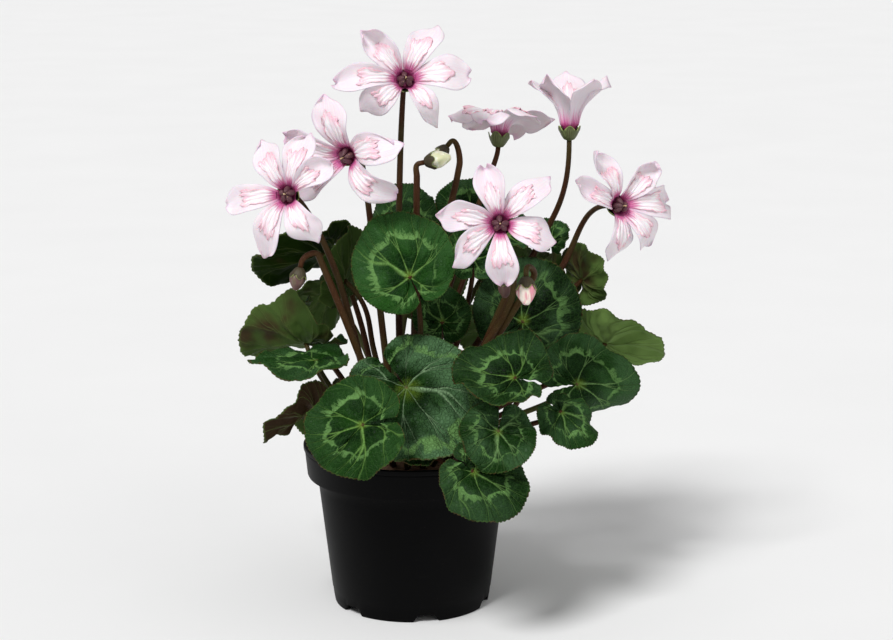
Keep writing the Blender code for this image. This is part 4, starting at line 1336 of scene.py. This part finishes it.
def make_stamens(name, flower):
    axes = facing(flower.bearing, flower.lift, 0)
    axis, centre = axes[2], Vector(flower.hub)
    wide = 1.0 if flower.open > 40 else 0.6
    bm = bmesh.new()
    for index in range(ANTHERS):
        way = ring_way(axes, 360 * index / ANTHERS + 11 * math.sin(3 * index + flower.bearing))
        tall = 6.8 + 0.9 * math.sin(2 * index + flower.bearing)
        path = [centre + way * wide * (4.6 - 3.6 * share) + axis * (0.5 + tall * share)
                for share in ANTHER_SHARES]
        sweep(bm, path, [wide * thick for thick in ANTHER_RADII], 10)
    finish_piece(name + "_anthers", bm, [ANTHER])
    bm = bmesh.new()
    sweep(bm, [centre + axis * height for height in (-3, 5, 8.2, 9.2)], [0.5, 0.5, 0.4, 0.55], 8)
    finish_piece(name + "_style", bm, [STYLE])


for name, flower in FLOWERS.items():
    make_stamens(name, flower)
print("anthers:", ANTHERS * len(FLOWERS))

# %% Calyx
SEPALS = 5
CALYX_RADIUS = 6.2
CALYX_END_RADIUS = 3.2
CALYX_DEPTH = 6.6
CALYX_DROP = 2.4
CALYX_THICKNESS = 0.6
SEPAL_LENGTH = 3.6


def sepal_green(name, dark, light, stripes):
    """Green striped with brown, with pale yellow-green edges."""
    material, tree, shader = new_finish(name, specular_ior_level=0.35, roughness=0.5)
    uv = place(tree, "UVMap").outputs[0]
    coords = object_coords(tree)
    stripe = speckle(tree, stretched(tree, uv, (16, 1.2, 1)), 1.0, 2.0)
    parts = place(tree, "SeparateXYZ", {"Vector": uv})
    across = sums(tree, "ABSOLUTE", sums(tree, "SUBTRACT", parts.outputs[0], 0.5))
    along = parts.outputs[1]
    base = mix(tree, speckle(tree, coords, 200.0), dark, light)
    base = mix(tree, step(tree, stripe, 0.46, 0.62, 0.0, 0.8), base, stripes)
    rim = times(tree, step(tree, across, 0.34, 0.48), step(tree, along, 0.15, 0.4))
    rim = sums(tree, "MAXIMUM", rim, step(tree, along, 0.80, 1.0))
    base = mix(tree, times(tree, rim, 0.8), base, rgb(0.34, 0.42, 0.12))
    join(tree, base, shader.inputs["Base Color"])
    raise_surface(tree, shader, stripe, 0.6, 0.3)
    return material


SEPAL = sepal_green(
    "sepal green", rgb(0.080, 0.105, 0.030), rgb(0.150, 0.185, 0.070), rgb(0.055, 0.028, 0.016)
)
BUD_SEPAL = sepal_green(
    "bud sepal", rgb(0.030, 0.026, 0.012), rgb(0.075, 0.062, 0.028), rgb(0.030, 0.012, 0.008)
)


def make_calyx(name, axes, neck, scale, finish, node=None):
    """A cup of sepals whose mouth lies at the neck of a flower or a bud."""
    axis = axes[2]
    radius, depth = CALYX_RADIUS * scale, CALYX_DEPTH * scale
    base_width = math.tau * radius / SEPALS

    def shape(index, middle, across, along):
        width = base_width * (1 - along) ** 0.7 * (1 + 0.25 * along)
        out = radius + (0.9 * along - 0.5 * across * across * (1 - along)) * scale
        lift = axis * SEPAL_LENGTH * scale * along + middle * out
        return neck + lift + middle.cross(axis) * across * width / 2

    bm = new_sheet()
    bearings = [index * 360 / SEPALS for index in range(SEPALS)]
    whorl(bm, axes, neck, bearings, 8, 8, (radius, depth, CALYX_END_RADIUS * scale), shape)
    calyx = finish_piece(name, bm, [finish], node)
    thicken(calyx, CALYX_THICKNESS * scale)
    soften = calyx.modifiers.new("soften", "SUBSURF")
    soften.levels = 1
    soften.render_levels = 1
    return calyx


for name, flower in FLOWERS.items():
    axes = facing(flower.bearing, flower.lift, 0)
    neck = Vector(flower.hub) - axes[2] * CALYX_DROP
    calyx = make_calyx(name + "_cup", axes, neck, 1.0, SEPAL, name + "_calyx")
print("calyx is", [round(side / MM, 1) for side in calyx.dimensions], "mm")

# %% Flower stems
PEDUNCLE_RADII = (2.5, 1.6)
STEM_STEPS = 40

for number, (name, flower) in enumerate(FLOWERS.items()):
    axis = facing(flower.bearing, flower.lift, 0)[2]
    end = Vector(flower.hub) - axis * (CALYX_DROP + CALYX_DEPTH - 1.2)
    path = stem_path(flower.root, end, axis, flower.via, STEM_STEPS, reach=0.07)
    bm = bmesh.new()
    sweep(bm, path, tapered(PEDUNCLE_RADII, len(path)), 12, stem_ripple)
    finish_piece(name + "_peduncle", bm, [STALK_FINISHES[number % 2]], name + "_stem")
print("flower stems:", len(FLOWERS))

# %% [markdown]
# ## Buds
# A bud is a furled spindle of petals, wound round like a closed umbrella, and hangs from the hook of its stem
# with its small calyx at the neck. The spindle is a tube whose radius swells and narrows, with furrows that
# wind once round it.

# %% Make the buds
def bud_finish(name, first, second, tip):
    material, tree, shader = new_finish(name, roughness=0.5, subsurface_weight=0.1, subsurface_scale=0.002)
    coords = object_coords(tree)
    streak = speckle(tree, stretched(tree, coords, (420, 420, 90)), 1.0, 3.0)
    patch = step(tree, speckle(tree, stretched(tree, coords, (330, 330, 50)), 1.0, 2.0), 0.46, 0.60)
    base = mix(tree, streak, first, second)
    join(tree, mix(tree, patch, base, tip), shader.inputs["Base Color"])
    raise_surface(tree, shader, streak, 0.5, 0.3)
    return material


CREAM = bud_finish("cream bud", rgb(0.66, 0.66, 0.44), rgb(0.92, 0.91, 0.80), rgb(0.66, 0.68, 0.42))
BLUSH = bud_finish("blush bud", rgb(0.86, 0.70, 0.62), rgb(0.95, 0.90, 0.78), rgb(0.74, 0.30, 0.36))
DARK = bud_finish("young bud", rgb(0.065, 0.026, 0.024), rgb(0.18, 0.095, 0.085), rgb(0.13, 0.090, 0.055))
BUD_FINISHES = {"bud_1": CREAM, "bud_2": CREAM, "bud_3": BLUSH, "bud_4": DARK, "bud_5": DARK}


def furrows(around, along):
    """The furled petals' edges wind round a bud as five shallow furrows."""
    return 1 + 0.10 * math.cos(5 * around + 5.5 * along) * math.sin(math.pi * min(1, along * 1.1))


def make_bud(name, bud):
    axes = facing(bud.bearing, bud.lift, 0)
    axis, neck = axes[2], Vector(bud.neck)
    path = stem_path(bud.root, neck, axis, bud.via, STEM_STEPS)
    bm = bmesh.new()
    sweep(bm, path, tapered(PEDUNCLE_RADII, len(path)), 12, stem_ripple)
    finish_piece(name + "_peduncle", bm, [STALK_FINISHES[1]])
    steps = 24
    spindle = [neck + axis * (bud.length * (0.02 + 0.98 * index / steps)) for index in range(steps + 1)]
    radii = [bud.radius * (0.16 + 0.86 * math.sin(math.pi * (0.12 + 0.84 * index / steps) ** 1.15))
             for index in range(steps + 1)]
    bm = bmesh.new()
    sweep(bm, spindle, radii, 30, furrows)
    body = finish_piece(name + "_petals", bm, [BUD_FINISHES[name]], name)
    scale = bud.radius / 6.1
    make_calyx(name + "_cup", axes, neck + axis * (CALYX_DEPTH * scale - 0.8), scale, BUD_SEPAL)
    return body


for name, bud in BUDS.items():
    body = make_bud(name, bud)
print("faces in one bud:", len(body.data.polygons))
